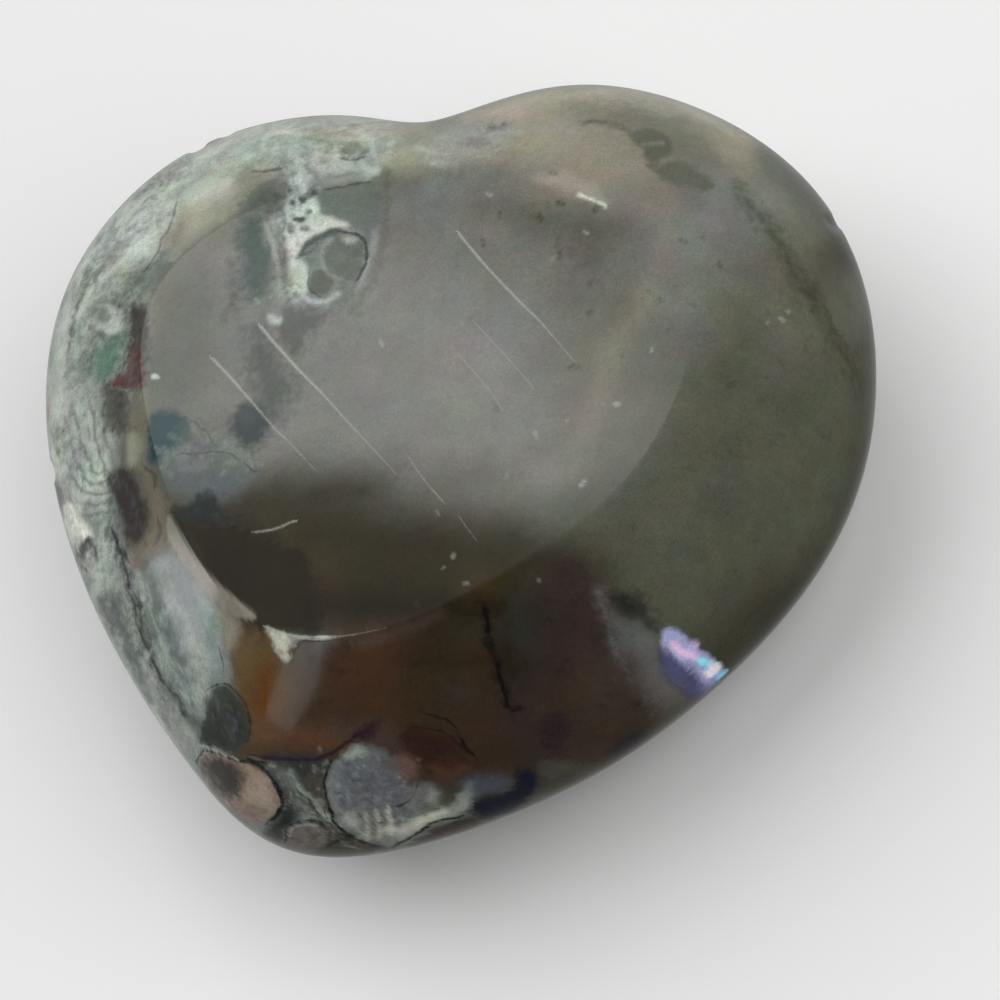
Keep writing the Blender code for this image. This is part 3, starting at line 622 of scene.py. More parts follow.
# Loose specks in the stone: middle and half size in pixels.
PALE_SPECKS = [((787, 312), 1.5), ((780, 320), 2.5), ((769, 323), 1.5), ((651, 350), 2),
    ((618, 405), 2.5), ((536, 433), 3), ((567, 422), 2), ((587, 231), 2.5), ((552, 260), 2),
    ((489, 195), 2.5), ((382, 342), 2.5), ((462, 325), 1.5), ((437, 513), 2), ((453, 556), 2),
    ((444, 569), 1.5), ((465, 584), 2), ((537, 580), 1.5), ((506, 476), 2.5), ((583, 484), 3.5),
    ((258, 301), 2.5)]
DARK_SPECKS = [((651, 291), 3), ((663, 300), 3), ((589, 312), 3), ((589, 282), 2), ((684, 241), 3),
    ((704, 239), 2.5), ((718, 264), 3), ((694, 306), 2.5), ((733, 383), 4), ((561, 204), 4),
    ((541, 217), 4), ((500, 214), 3), ((482, 243), 3), ((558, 256), 4), ((597, 208), 4), ((574, 368), 5),
    ((496, 408), 3), ((500, 594), 4), ((524, 588), 3), ((315, 696), 5), ((295, 352), 4), ((554, 172), 3),
    ((418, 604), 3), ((620, 356), 2)]

# Crumbs strewn along a path: path, spread, count, half size, colour and strength.
CRUMBS = {
    "swirls": ([(166, 456), (200, 446), (240, 460)], 9, 80, 2.4, "shell_grey", 0.3),
    "swirls_dark": ([(190, 440), (220, 466), (200, 490)], 12, 50, 2.2, "fern", 0.4),
    "vein": ([(112, 530), (119, 553), (128, 573), (132, 600), (141, 624), (149, 652), (160, 678),
        (184, 714)], 3.6, 170, 2, "charcoal", 0.7),
    # Painted glints: bright specks strewn over the chip.
    "chip": ([(276, 636), (283, 644), (286, 654)], 3.5, 60, 1.3, "bright", 0.4),
    "body_vein": ([(480, 606), (490, 636), (497, 666), (508, 700), (518, 708)], 3, 60, 2, "pitch", 0.5),
    "maroon": ([(118, 476), (128, 500), (136, 528)], 7, 50, 1.8, "ink", 0.6),
    "maroon_pale": ([(120, 480), (131, 504), (139, 530)], 5, 40, 1.4, "lilac_grey", 0.3),
    "maroon_beside": ([(110, 500), (114, 520), (120, 545)], 4, 40, 1.4, "charcoal", 0.7),
    "oxblood": ([(116, 382), (132, 376), (141, 362)], 6, 50, 1.6, "ink", 0.6),
    "streak": ([(139, 306), (141, 330), (140, 352)], 6, 50, 1.5, "ink", 0.5),
    "brown": ([(114, 398), (113, 416), (118, 434)], 6, 40, 1.6, "charcoal", 0.6),
    "moss": ([(220, 696), (232, 716), (232, 738)], 8, 40, 1.3, "mid_grey", 0.5),
    "lumps": ([(300, 172), (292, 206), (286, 240), (290, 290), (310, 312)], 6, 60, 1.6, "slate", 0.6),
    "beside_lumps": ([(276, 214), (279, 244), (280, 290), (274, 318)], 3, 50, 1.4, "shell_grey", 0.4),
    "left_of_lumps": ([(276, 196), (281, 240), (284, 290)], 3, 60, 1.6, "dark_slate", 0.6),
    "lobe": ([(250, 150), (300, 146), (350, 150), (390, 140)], 10, 40, 2.6, "white", 0.45),
    "lobe_dark": ([(270, 160), (320, 158), (370, 156)], 8, 26, 2.6, "fern", 0.45),
    "rim": ([(56, 380), (68, 300), (96, 236), (150, 186), (200, 160)], 9, 110, 2.6, "white", 0.5),
    "rim_dark": ([(70, 360), (86, 300), (110, 240), (160, 190)], 10, 70, 2, "fern", 0.5),
    "side": ([(62, 430), (70, 500), (86, 570), (112, 650), (156, 728)], 9, 110, 2.8, "white", 0.55),
    "side_dark": ([(72, 440), (90, 540), (112, 620), (150, 700)], 10, 80, 2, "slate", 0.5),
    "bevel": ([(160, 580), (180, 630), (204, 690)], 12, 80, 2, "fern", 0.6),
    "bevel_white": ([(164, 600), (186, 650), (204, 700)], 10, 50, 1.6, "white", 0.5),
    "fossil": ([(340, 770), (366, 794), (390, 790)], 14, 60, 1.8, "shell_pale", 0.45),
    "fossil_dark": ([(345, 775), (366, 800), (396, 806)], 14, 50, 1.6, "charcoal", 0.5),
    "tip": ([(270, 770), (300, 800), (330, 824), (380, 838)], 8, 90, 1.3, "shell_pale", 0.5),
    "tip_dark": ([(276, 764), (300, 780), (296, 824), (340, 846)], 9, 110, 1.5, "ink", 0.5),
    "table": ([(230, 300), (330, 420), (470, 300), (600, 420), (560, 230), (700, 330)], 40, 90, 1.2,
        "deep_olive", 0.3),
    "flank": ([(720, 380), (780, 480), (700, 540), (800, 340)], 40, 60, 2, "deep_olive", 0.4),
    "body": ([(300, 700), (400, 660), (470, 700), (580, 640), (600, 730)], 28, 90, 2.4, "ink", 0.4),
}

# Polishing scratches, and a painted highlight along the arris drawn the same way: path, and half width at
# the start and at the end.
SCRATCHES_AND_GLINTS = {
    "long_one": ([(261, 327), (278, 347), (300, 371), (322, 393)], 1.4, 0.7),
    "long_one_tail": ([(322, 393), (346, 420), (378, 454), (396, 474)], 0.4, -0.5),
    "left": ([(213, 359), (230, 377), (252, 402), (276, 430)], 1, 0.4),
    "left_tail": ([(276, 430), (290, 443), (314, 469)], 0.2, -0.4),
    "upper": ([(459, 234), (485, 265), (518, 300), (538, 319)], 1, 0.4),
    "upper_tail": ([(538, 319), (557, 341), (573, 360)], 0.2, -0.3),
    "faint_right": ([(475, 323), (503, 353), (533, 387)], -0.4, -0.4),
    "faint_middle": ([(460, 356), (486, 386), (501, 408)], -0.4, -0.4),
    "low": ([(409, 458), (426, 482), (443, 501)], -0.3, 0),
    "low_tail": ([(460, 518), (468, 529), (475, 538)], -0.2, -0.4),
    # Painted highlight: the bright line along the arris, drawn as a scratch.
    "arris": ([(267, 627), (285, 634), (306, 637), (335, 637)], 0.9, 0.7),
    "arris_end": ([(335, 637), (357, 634), (386, 628)], 0.3, -0.9),
    "short": ([(256, 532), (274, 529), (294, 521)], 0.5, 0.7),
}

# Growth bands that follow a line: the line, the spacing of the bands and where they show.
BANDS = {
    "nested": ([(78, 400), (90, 440), (98, 468)], 10, patch("", [(56, 424), (84, 404), (110, 428),
        (114, 470), (110, 510), (98, 522), (82, 506), (66, 476)], 10)),
    "upper": ([(40, 330), (62, 262), (104, 208), (160, 168)], 14, patch("", [(58, 300), (80, 240),
        (116, 200), (150, 200), (130, 256), (108, 300), (88, 320), (82, 390), (56, 400)], 14, 0.5)),
    "lobe": ([(300, 120), (340, 128), (380, 124)], 9, oval("", (335, 144), (36, 14), 0, 10, 0.5)),
}

# Worn places, pressed into the skin: the mark and the depth in millimetres.
HOLLOWS = {
    "chip": (patch("", [(268, 629), (285, 636), (306, 638), (318, 640), (296, 645), (288, 660),
        (281, 648)], 3), 0.06),
    "nick": (oval("", (834, 223), (9, 5), 40, 5), 0.2),
    "rim_dent": (oval("", (197, 146), (9, 6), -35, 4), 0.3),
    "rim_dent_middle": (oval("", (226, 130), (8, 5), -25, 4), 0.25),
    "rim_dent_low": (oval("", (52, 472), (5, 9), 0, 4), 0.25),
}

# ---------------------------------------------------------------------------------------------
# How the marks are laid on the skin
# ---------------------------------------------------------------------------------------------
BASE_COLOUR = "olive"
PATH_STEPS = 5
# Divisors are kept above these.
LEAST_RUN = 1e-9
LEAST_SLOPE = 1e-6
# Edges are counted in softnesses of their mark, and no farther than this.
FAR_EDGE = 6.0
MARGIN_PIXELS = 12.0
# A line keeps its width this many pixels to either side, then falls away this steeply.
LINE_HOLD = 5.0
LINE_FALL = 3.0
# How steeply a line widens from its ends, and the share of its width that it has there.
LINE_TAPER = 6.0
LINE_TIP = 0.3
# Specks: their seeds, how crumbs vary in size, and a speck's shape, softness and strength.
SPECK_SEED = 3
CRUMB_SEED = 8
CRUMB_SIZES = (0.5, 1.5)
SPECK_SHAPE = (1.4, 0.7)
SPECK_SOFT = 2.5
PALE_SPECK_STRENGTH = 0.4
DARK_SPECK_STRENGTH = 0.6
# Marks reach round the rim to this cosine of the angle to the camera; a cosine of 1 spans so many pixels.
RIM_FACING = -0.3
RIM_PIXELS = 120.0
# Swirl size in millimetres and push in pixels.
DRIFT_SEED = 6
BROAD_DRIFT = (3.0, 4.0)
FINE_DRIFT = (0.9, 2.0)

# The side that the picture doesn't show: its tint and fossils, and the bearing round which they crowd.
HIDDEN_SEED = 11
HIDDEN_FACING = -0.32
HIDDEN_FADE = 0.12
HIDDEN_TINT = 0.6
FOSSIL_BEARING = math.radians(190.0)
FOSSIL_SPREAD = math.radians(75.0)
FOSSIL_FADE = math.radians(30.0)
HIDDEN_IN_SHELL = 90
HIDDEN_IN_STONE = 12
# A shell's radii in millimetres, as their median and spread, and the gap to the next one's middle.
SHELL_SIZES = (1.4, 0.45)
SHELL_LARGEST = 5.0
SHELL_GAP = 5.0
# How far in its ring and core start, as shares of its smallest radius, and how strongly each part covers.
SHELL_RING = 0.35
SHELL_CORE = 0.7
SHELL_STRENGTH = (0.4, 0.95)
OUTLINE_STRENGTH = 0.8
RING_STRENGTH = 0.6
CORE_STRENGTH = 0.7
# Measures in pixels of the picture, and how many make a millimetre of the stone.
SHELL_MARGIN = 20.0
SHELL_SOFT = 4.0
OUTLINE_HALF = 1.1
RING_HALF = 3.0
PIXELS_PER_MM = 11.5
SHELL_COLOURS = [("shell_grey", "shell_pale", "shell_slate"), ("shell_slate", "shell_pale", "slate"),
                 ("taupe", "cream_olive", "leaf_brown"), ("pink_tan", "pale_pink", "sand"),
                 ("slate", "shell_slate", "charcoal"), ("lavender", "shell_grey", "lilac")]

# Small soft blotches among the fossils: how many, how crowded the stone is there, and their size in
# millimetres, to the middle of their soft edge. Edge and reach are shares of that size.
BLOTCH_SEED = 5
BLOTCHES = 520
BLOTCH_CROWD = 0.4
BLOTCH_LENGTH = (0.7, 2.6)
BLOTCH_SLIMNESS = (0.45, 0.95)
BLOTCH_TILT = 0.4
BLOTCH_EDGE = 1.5
BLOTCH_REACH = 2.0
BLOTCH_TINTS = ["shell_pale", "shell_slate", "shell_blue", "shell_grey", "white", "fern"]
BLOTCH_TINT = 0.5
# Added to a normal, so that the level direction along the skin is never lost.
NUDGE = (1e-3, 0.0, 0.0)

# ---------------------------------------------------------------------------------------------
# The stone's material
# ---------------------------------------------------------------------------------------------
# Where a Mix node has its share and its two colours, and where it gives the mixed one.
MIX_INPUTS = (0, 6, 7)
MIX_OUTPUT = 2
# Noise: size of its grains in millimetres, detail, roughness and distortion.
COARSE_NOISE = (3.2, 3.0)
MIDDLE_NOISE = (0.75, 3.0, 0.6)
FINE_NOISE = (0.22, 2.0, 0.6)
GRAIN_NOISE = (0.09, 1.0)
BREAK_NOISE = (1.4, 2.0)
CONTOUR_NOISE = (5.0, 1.0, 0.5, 0.8)
HUE_NOISE = (3.6, 1.0)
NOISE_SPAN = (0.3, 0.7)
# Ranges of noise and what they become: ragged edges, breaks in bands and faint places in lines.
RAGGED_EDGE = (0.25, 0.75, -0.5, 0.5)
BAND_BREAKS = (0.35, 0.65)
LINE_FAINT = (0.3, 0.55, 0.5, 1.0)
# How far noise swings the bands, the edges of lines and scratches, and the stone's shade where fossils
# crowd and everywhere. Then the shares that swirls and blotches have in the shade, and the noise's own hue.
BAND_COARSE = 0.25
BAND_MIDDLE = 0.06
LINE_RAGGED = 0.8
SCRATCH_RAGGED = 0.7
CROWD_MIDDLE = 0.14
CROWD_FINE = 0.05
SHADE_COARSE = 0.10
SHADE_MIDDLE = 0.06
SHADE_FINE = 0.12
SHADE_GRAIN = 0.10
CONTOUR_WAVES = 18.0
CONTOUR_SHADE = 0.10
BLOTCH_SHADE = 0.22
HUE_SHARE = 0.13
# Bands: their colours, and how their wave turns into cover.
BAND_PALE = (0.50, 0.55, 0.48, 1.0)
BAND_DARK = (0.10, 0.12, 0.11, 1.0)
BAND_CREST = (0.0, 1.0, 0.0, 0.5)
BAND_TROUGH = (-0.1, -1.0, 0.0, 0.5)
# How soft lines and scratches are, in pixels, and how a scratch looks, which the painted highlight along the
# arris shares.
LINE_SOFT = 1.2
SCRATCH_SOFT = 1.8
SCRATCH_AND_GLINT_COLOUR = (0.62, 0.63, 0.60, 1.0)
SCRATCH_STRENGTH = 0.42
SCRATCH_DEPTH = -2.0
# The polish.
ROUGHNESS = 0.12
ROUGHNESS_SWING = 0.02
STONE_IOR = 1.5
BUMP_STRENGTH = 0.06
BUMP_DEPTH = 0.02 * MM

# ---------------------------------------------------------------------------------------------
# The studio. Azimuth 0 is -Y and 90 is +X; angles are in degrees and lengths in metres.
# ---------------------------------------------------------------------------------------------
LIGHTS_MIDDLE = Vector((0.0, 0.0, GIRDLE_HEIGHT * MM))
WINDOW_AZIMUTH = 222.0
WINDOW_ELEVATION = 50.0
# The window's corners, to the side and up from its middle, a metre from the stone.
WINDOW_CORNERS = [(0.25, -0.03), (0.205, 0.015), (0.14, 0.06), (0.085, 0.11), (0.07, 0.16), (0.045, 0.21),
                  (0.0, 0.24), (-0.16, 0.26), (-0.2, 0.0), (-0.12, -0.12), (0.0, -0.2), (0.25, -0.2)]
# Across the window's diagonal: from and to where it fades, and the glow at both ends.
WINDOW_FADE = (-0.13, 0.06, 0.25, 1.75)
WINDOW_COLOUR = (1.0, 1.0, 0.97, 1.0)
# Rectangular lights a metre away: azimuth, elevation, width, height, power, and if the polish shows them.
SOFT_BOXES = {
    "side_window": (277.5, 18.5, 0.15, 0.15, 0.19, True),
    "front_card": (322.0, 42.0, 0.22, 0.2, 0.13, True),
    "fill": (235.0, 60.0, 1.2, 1.2, 7.0, False),
    "right_fill": (85.0, 40.0, 1.2, 1.2, 9.0, False),
}
SKY_BRIGHT = (0.38, 0.385, 0.38, 1.0)
SKY_DARK = (0.07, 0.07, 0.066, 1.0)
SKY_AZIMUTH = 228.0
SKY_FADE = (-0.35, 0.75)
FLOOR_SIZE = 4.0
FLOOR_HEIGHT = -0.00005
FLOOR_COLOUR = (0.86, 0.86, 0.86, 1.0)
FLOOR_ROUGHNESS = 0.9


def camera_axes():
    """The camera's right, up and backward directions."""
    flat = math.cos(CAMERA_ELEVATION)
    back = Vector((flat * math.sin(CAMERA_AZIMUTH), -flat * math.cos(CAMERA_AZIMUTH),
                   math.sin(CAMERA_ELEVATION)))
    level = Vector(UPWARD).cross(back).normalized()
    climb = back.cross(level)
    right = level * math.cos(CAMERA_ROLL) + climb * math.sin(CAMERA_ROLL)
    up = climb * math.cos(CAMERA_ROLL) - level * math.sin(CAMERA_ROLL)
    return right, up, back


def picture_place(points):
    """Where points, in millimetres, fall in the photograph's frame: x to the right and y down."""
    right, up, back = (numpy.array(axis) for axis in camera_axes())
    offset = points - numpy.array(CAMERA_AIM)
    depth = CAMERA_DISTANCE - offset @ back
    across = FOCAL_PIXELS * (offset @ right) / depth
    upward = FOCAL_PIXELS * (offset @ up) / depth
    return numpy.stack((PICTURE_SIDE / 2 + across, PICTURE_SIDE / 2 - upward), axis=1)


def towards_camera(points, normals):
    """Cosine of the angle between the skin's normal and the line to the camera."""
    back = numpy.array(camera_axes()[2])
    line_of_sight = numpy.array(CAMERA_AIM) + back * CAMERA_DISTANCE - points
    line_of_sight /= numpy.linalg.norm(line_of_sight, axis=1)[:, None]
    return (line_of_sight * normals).sum(axis=1)


# ---------------------------------------------------------------------------------------------
# Building the skin
# ---------------------------------------------------------------------------------------------
def spline_points(control):
    """Points round a closed uniform cubic B-spline."""
    control = numpy.array(control)
    place = numpy.linspace(0.0, len(control), SPLINE_SAMPLES, endpoint=False)
    span = numpy.floor(place).astype(int)
    t = (place - span)[:, None]
    weights = ((1 - t) ** 3, 3 * t ** 3 - 6 * t ** 2 + 4, -3 * t ** 3 + 3 * t ** 2 + 3 * t + 1, t ** 3)
    points = [control[(span + step - 1) % len(control)] for step in range(4)]
    return sum(point * weight for point, weight in zip(points, weights)) / 6.0


def reach(points, angles):
    """How far a closed outline is from the origin at each plan angle."""
    own_angles = numpy.arctan2(points[:, 1], points[:, 0])
    order = numpy.argsort(own_angles)
    distance = numpy.hypot(points[:, 0], points[:, 1])[order]
    return numpy.interp(angles, own_angles[order], distance, period=2 * math.pi)


def angle_from(angles, middle):
    """Unsigned angle between each plan angle and the middle one."""
    return numpy.abs((angles - middle + math.pi) % (2 * math.pi) - math.pi)


def bezier(start, first, second, end, t):
    return start * (1 - t) ** 3 + 3 * first * t * (1 - t) ** 2 + 3 * second * t ** 2 * (1 - t) + end * t ** 3


def smooth_step(value):
    value = numpy.clip(value, 0.0, 1.0)
    return value * value * (3 - 2 * value)


def edge_drop(angles):
    """First handle's drop round the table: crisp along the lower left, soft elsewhere."""
    fade = (CRISP_HALF_WIDTH + CRISP_FADE - angle_from(angles, CRISP_MIDDLE)) / CRISP_FADE
    return SOFT_DROP + (CRISP_DROP - SOFT_DROP) * smooth_step(fade)


GIRDLE_LINE = spline_points(GIRDLE)
TABLE_LINE = spline_points(TABLE)
GIRDLE_MIDDLE = (GIRDLE_LINE.min(axis=0) + GIRDLE_LINE.max(axis=0)) / 2


def dome_height(angles, distance):
    """Height of the table's dome over each point of a ring."""
    along = distance * numpy.cos(angles) - DOME_MIDDLE[0]
    across = distance * numpy.sin(angles) - DOME_MIDDLE[1]
    return TOP_HEIGHT - (along ** 2 + across ** 2) / (2 * DOME_RADIUS)


def ring(stretch, share, count):
    """One ring of the skin. Share runs 0 to 1 outward on the table, skin and underside's flat alike."""
    angles = KEEL_ANGLE + numpy.linspace(0.0, 2 * math.pi, count, endpoint=False)
    girdle = reach(GIRDLE_LINE, angles)
    table = reach(TABLE_LINE, angles)
    keel = KEEL_RISE * numpy.exp(-angle_from(angles, KEEL_ANGLE) / KEEL_SPREAD)
    rest = table * REST_SHARE
    out = bezier(0.0, FIRST_REACH, 1.0, 1.0, share)
    if stretch == "table":
        distance = (table + keel) * share
        height = dome_height(angles, distance)
    elif stretch == "skin":
        climb = bezier(1.0, 1.0 - edge_drop(angles), BULGE, 0.0, share)
        distance = table + (girdle - table) * out + keel * (1 - out)
        height = GIRDLE_HEIGHT + (dome_height(angles, table + keel) - GIRDLE_HEIGHT) * climb
    elif stretch == "under":
        distance = rest + (girdle - rest) * out
        height = GIRDLE_HEIGHT * (1 - bezier(1.0, 1.0 - SOFT_DROP, BULGE, 0.0, share))
    else:
        distance = rest * share
        height = 0.0
    points = numpy.empty((count, 3))
    points[:, 0] = distance * numpy.cos(angles) - GIRDLE_MIDDLE[0]
    points[:, 1] = distance * numpy.sin(angles) - GIRDLE_MIDDLE[1]
    points[:, 2] = height
    return points


def skin_rings():
    """Rings from the table's middle to the underside's middle, halved in count where they are small."""
    rings = []
    for step in range(1, TABLE_RINGS):
        share = step / TABLE_RINGS
        halvings = 0 if share > FULL_SHARE else max(1, math.ceil(math.log2(FULL_SHARE / share)))
        rings.append(ring("table", share, ROUND_POINTS >> min(halvings, MOST_HALVINGS)))
    rings += [ring("skin", step / SKIN_RINGS, ROUND_POINTS) for step in range(SKIN_RINGS)]
    rings += [ring("under", 1 - step / UNDER_RINGS, ROUND_POINTS // 2) for step in range(UNDER_RINGS)]
    rings += [ring("rest", 1 - step / REST_RINGS, ROUND_POINTS // 4) for step in range(REST_RINGS)]
    return rings


def strip_faces(first, first_count, second, second_count):
    """Faces between two rings of indices; where one has half the other's points, three points to a face."""
    faces = []
    fewer = min(first_count, second_count)
    for corner in range(fewer):
        following = (corner + 1) % fewer
        middle = 2 * corner + 1
        after = 2 * following
        if first_count == second_count:
            faces.append((first + corner, second + corner, second + following, first + following))
        elif first_count < second_count:
            faces.append((first + corner, second + 2 * corner, second + middle))
            faces.append((first + corner, second + middle, first + following))
            faces.append((first + following, second + middle, second + after))
        else:
            faces.append((first + 2 * corner, second + corner, first + middle))
            faces.append((first + middle, second + corner, second + following))
            faces.append((first + middle, second + following, first + after))
    return faces


def heart_mesh():
    rings = skin_rings()
    top = dome_height(numpy.zeros(1), numpy.zeros(1))[0]
    poles = [numpy.array([[-GIRDLE_MIDDLE[0], -GIRDLE_MIDDLE[1], height]]) for height in (top, 0.0)]
    points = numpy.concatenate([poles[0], *rings, poles[1]])
    start = 1
    count = len(rings[0])
    faces = [(0, start + corner, start + (corner + 1) % count) for corner in range(count)]
    for following in rings[1:]:
        faces += strip_faces(start, count, start + count, len(following))
        start += count
        count = len(following)
    last = len(points) - 1
    faces += [(start + corner, last, start + (corner + 1) % count) for corner in range(count)]
    mesh = bpy.data.meshes.new("polished_heart")
    mesh.from_pydata((points * MM).tolist(), [], faces)
    mesh.shade_smooth()
    mesh.validate()
    mesh.update()
    return mesh


def read_points(source, field):
    values = numpy.empty(len(source) * 3)
    source.foreach_get(field, values)
    return values.reshape(-1, 3)


def mesh_points(mesh):
    return read_points(mesh.vertices, "co") / MM


def mesh_normals(mesh):
    return read_points(mesh.vertex_normals, "vector")


def place_points(mesh, points):
    mesh.vertices.foreach_set("co", (points * MM).ravel())
    mesh.update()


def press_hollows(mesh):
    """Presses the worn places into the skin, always inward."""
    points = mesh_points(mesh)
    normals = mesh_normals(mesh)
    place = picture_place(points)
    facing = towards_camera(points, normals)
    for mark, depth in HOLLOWS.values():
        chosen = near(place, mark)
        cover = mark_cover(place[chosen], mark) * (facing[chosen] > RIM_FACING)
        points[chosen] -= normals[chosen] * (cover * depth)[:, None]
    place_points(mesh, points)


def fit_box(mesh):
    """Brings the finely cut skin exactly into the solid's box."""
    low, high = (numpy.array(corner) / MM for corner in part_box(NODE))
    points = mesh_points(mesh)
    own_low = points.min(axis=0)
    own_high = points.max(axis=0)
    place_points(mesh, low + (points - own_low) * (high - low) / (own_high - own_low))


# ---------------------------------------------------------------------------------------------
# Distances to the marks, in pixels, below zero inside them
# ---------------------------------------------------------------------------------------------
def smooth_path(path, closed=False):
    """Points along a Catmull-Rom curve through the given ones."""
    path = numpy.array(path, dtype=float)
    before = numpy.roll(path, 1, axis=0) if closed else numpy.vstack((path[:1], path[:-1]))
    ends = numpy.roll(path, -1, axis=0) if closed else numpy.vstack((path[1:], path[-1:]))
    after = numpy.roll(path, -2, axis=0) if closed else numpy.vstack((path[2:], path[-1:], path[-1:]))
    spans = len(path) if closed else len(path) - 1
    t = (numpy.arange(PATH_STEPS) / PATH_STEPS)[None, :, None]
    p0, p1, p2, p3 = (points[:spans, None, :] for points in (before, path, ends, after))
    curve = 0.5 * (2 * p1 + (p2 - p0) * t + (2 * p0 - 5 * p1 + 4 * p2 - p3) * t ** 2
                   + (3 * p1 - p0 - 3 * p2 + p3) * t ** 3)
    curve = curve.reshape(-1, 2)
    return curve if closed else numpy.vstack((curve, path[-1:]))


def line_distance(place, path):
    """Signed distance from each place to a run of straight pieces, and how far along it that is."""
    best = numpy.full(len(place), numpy.inf)
    side = numpy.ones(len(place))
    along = numpy.zeros(len(place))
    for index, (start, end) in enumerate(zip(path[:-1], path[1:])):
        way = end - start
        offset = place - start
        share = numpy.clip(offset @ way / max(way @ way, LEAST_RUN), 0.0, 1.0)
        gap = numpy.hypot(*(offset - share[:, None] * way).T)
        nearer = gap < best
        best[nearer] = gap[nearer]
        side[nearer] = numpy.where(way[0] * offset[:, 1] - way[1] * offset[:, 0] < 0, -1.0, 1.0)[nearer]
        along[nearer] = (index + share[nearer]) / (len(path) - 1)
    return best * side, along


def rounded_distance(along, half):
    """Distance to an ellipse or ellipsoid, from how far places lie along its axes and its half sizes."""
    scaled = numpy.linalg.norm(along / half, axis=1)
    slope = numpy.linalg.norm(along / half ** 2, axis=1)
    return scaled * (scaled - 1) / numpy.maximum(slope, LEAST_SLOPE)


def oval_distance(place, middle, half, turn):
    turn = math.radians(turn)
    axes = numpy.array([(math.cos(turn), -math.sin(turn)), (math.sin(turn), math.cos(turn))])
    return rounded_distance((place - numpy.array(middle)) @ axes, numpy.array(half))


def patch_distance(place, corners):
    outline = smooth_path(corners, closed=True)
    outline = numpy.vstack((outline, outline[:1]))
    inside = numpy.zeros(len(place), dtype=bool)
    for start, end in zip(outline[:-1], outline[1:]):
        crosses = (start[1] > place[:, 1]) != (end[1] > place[:, 1])
        rise = end[1] - start[1] if end[1] != start[1] else LEAST_RUN
        meets = start[0] + (place[:, 1] - start[1]) * (end[0] - start[0]) / rise
        inside ^= crosses & (place[:, 0] < meets)
    distance = numpy.abs(line_distance(place, outline)[0])
    return numpy.where(inside, -distance, distance)


def mark_distance(place, mark):
    if mark.kind == "oval":
        return oval_distance(place, mark.places, mark.size, mark.turn)
    if mark.kind == "stroke":
        return numpy.abs(line_distance(place, smooth_path(mark.places))[0]) - mark.size
    return patch_distance(place, mark.places)


def soft_cover(distance, mark):
    return smooth_step(0.5 - distance / (2 * mark.soft)) * mark.strength


def mark_cover(place, mark):
    """How strongly a soft-edged mark covers each place."""
    return soft_cover(mark_distance(place, mark), mark)


def near(place, mark):
    """Indices of the places close enough to a mark to be coloured by it."""
    corners = numpy.atleast_2d(mark.places)
    margin = numpy.max(mark.size) + FAR_EDGE * mark.soft + MARGIN_PIXELS
    low = corners.min(axis=0) - margin
    high = corners.max(axis=0) + margin
    return numpy.flatnonzero(((place > low) & (place < high)).all(axis=1))


# ---------------------------------------------------------------------------------------------
# Painting the skin's points
# ---------------------------------------------------------------------------------------------
def drift(points, size, pixels):
    """A smooth random push for each point, in pixels; size is that of its swirls in millimetres."""
    noise.seed_set(DRIFT_SEED)
    pushes = [noise.noise_vector(Vector(point) / size)[:2] for point in points]
    return numpy.array(pushes) * pixels


class Layer:
    """Marks of one layer: each point's colour, its strength, and how far outside the nearest edge it is."""

    def __init__(self, count):
        self.edge = numpy.full(count, FAR_EDGE)
        self.colour = numpy.zeros((count, 4))

    def add(self, chosen, distance, colour, soft, strength):
        """An earlier mark keeps its edge; inside it, the new one is blended over its colour."""
        old = self.edge[chosen]
        new = numpy.minimum(distance / soft, FAR_EDGE)
        taken = smooth_step(0.5 - old / 2)
        fresh = (1 - taken) * (new < old)
        share = fresh + taken * smooth_step(0.5 - new / 2) * strength
        self.colour[chosen, :3] += (numpy.array(COLOURS[colour]) - self.colour[chosen, :3]) * share[:, None]
        self.colour[chosen, 3] += (strength - self.colour[chosen, 3]) * fresh
        self.edge[chosen] = numpy.minimum(old, new)


class LineLayer:
    """Thin lines: the signed distance across the nearest one, and how much of its half width is left."""

    def __init__(self, count):
        self.across = numpy.full(count, FAR_EDGE)
        self.width = numpy.full(count, -FAR_EDGE)
        self.colour = numpy.zeros((count, 4))

    def add(self, chosen, across, width, colour, strength):
        gap = numpy.abs(across)
        width = width - LINE_FALL * numpy.maximum(gap - LINE_HOLD, 0.0)
        nearer = gap - width < numpy.abs(self.across[chosen]) - self.width[chosen]
        painted = chosen[nearer]
        self.across[painted] = across[nearer]
        self.width[painted] = width[nearer]
        self.colour[painted] = (*COLOURS[colour], strength)


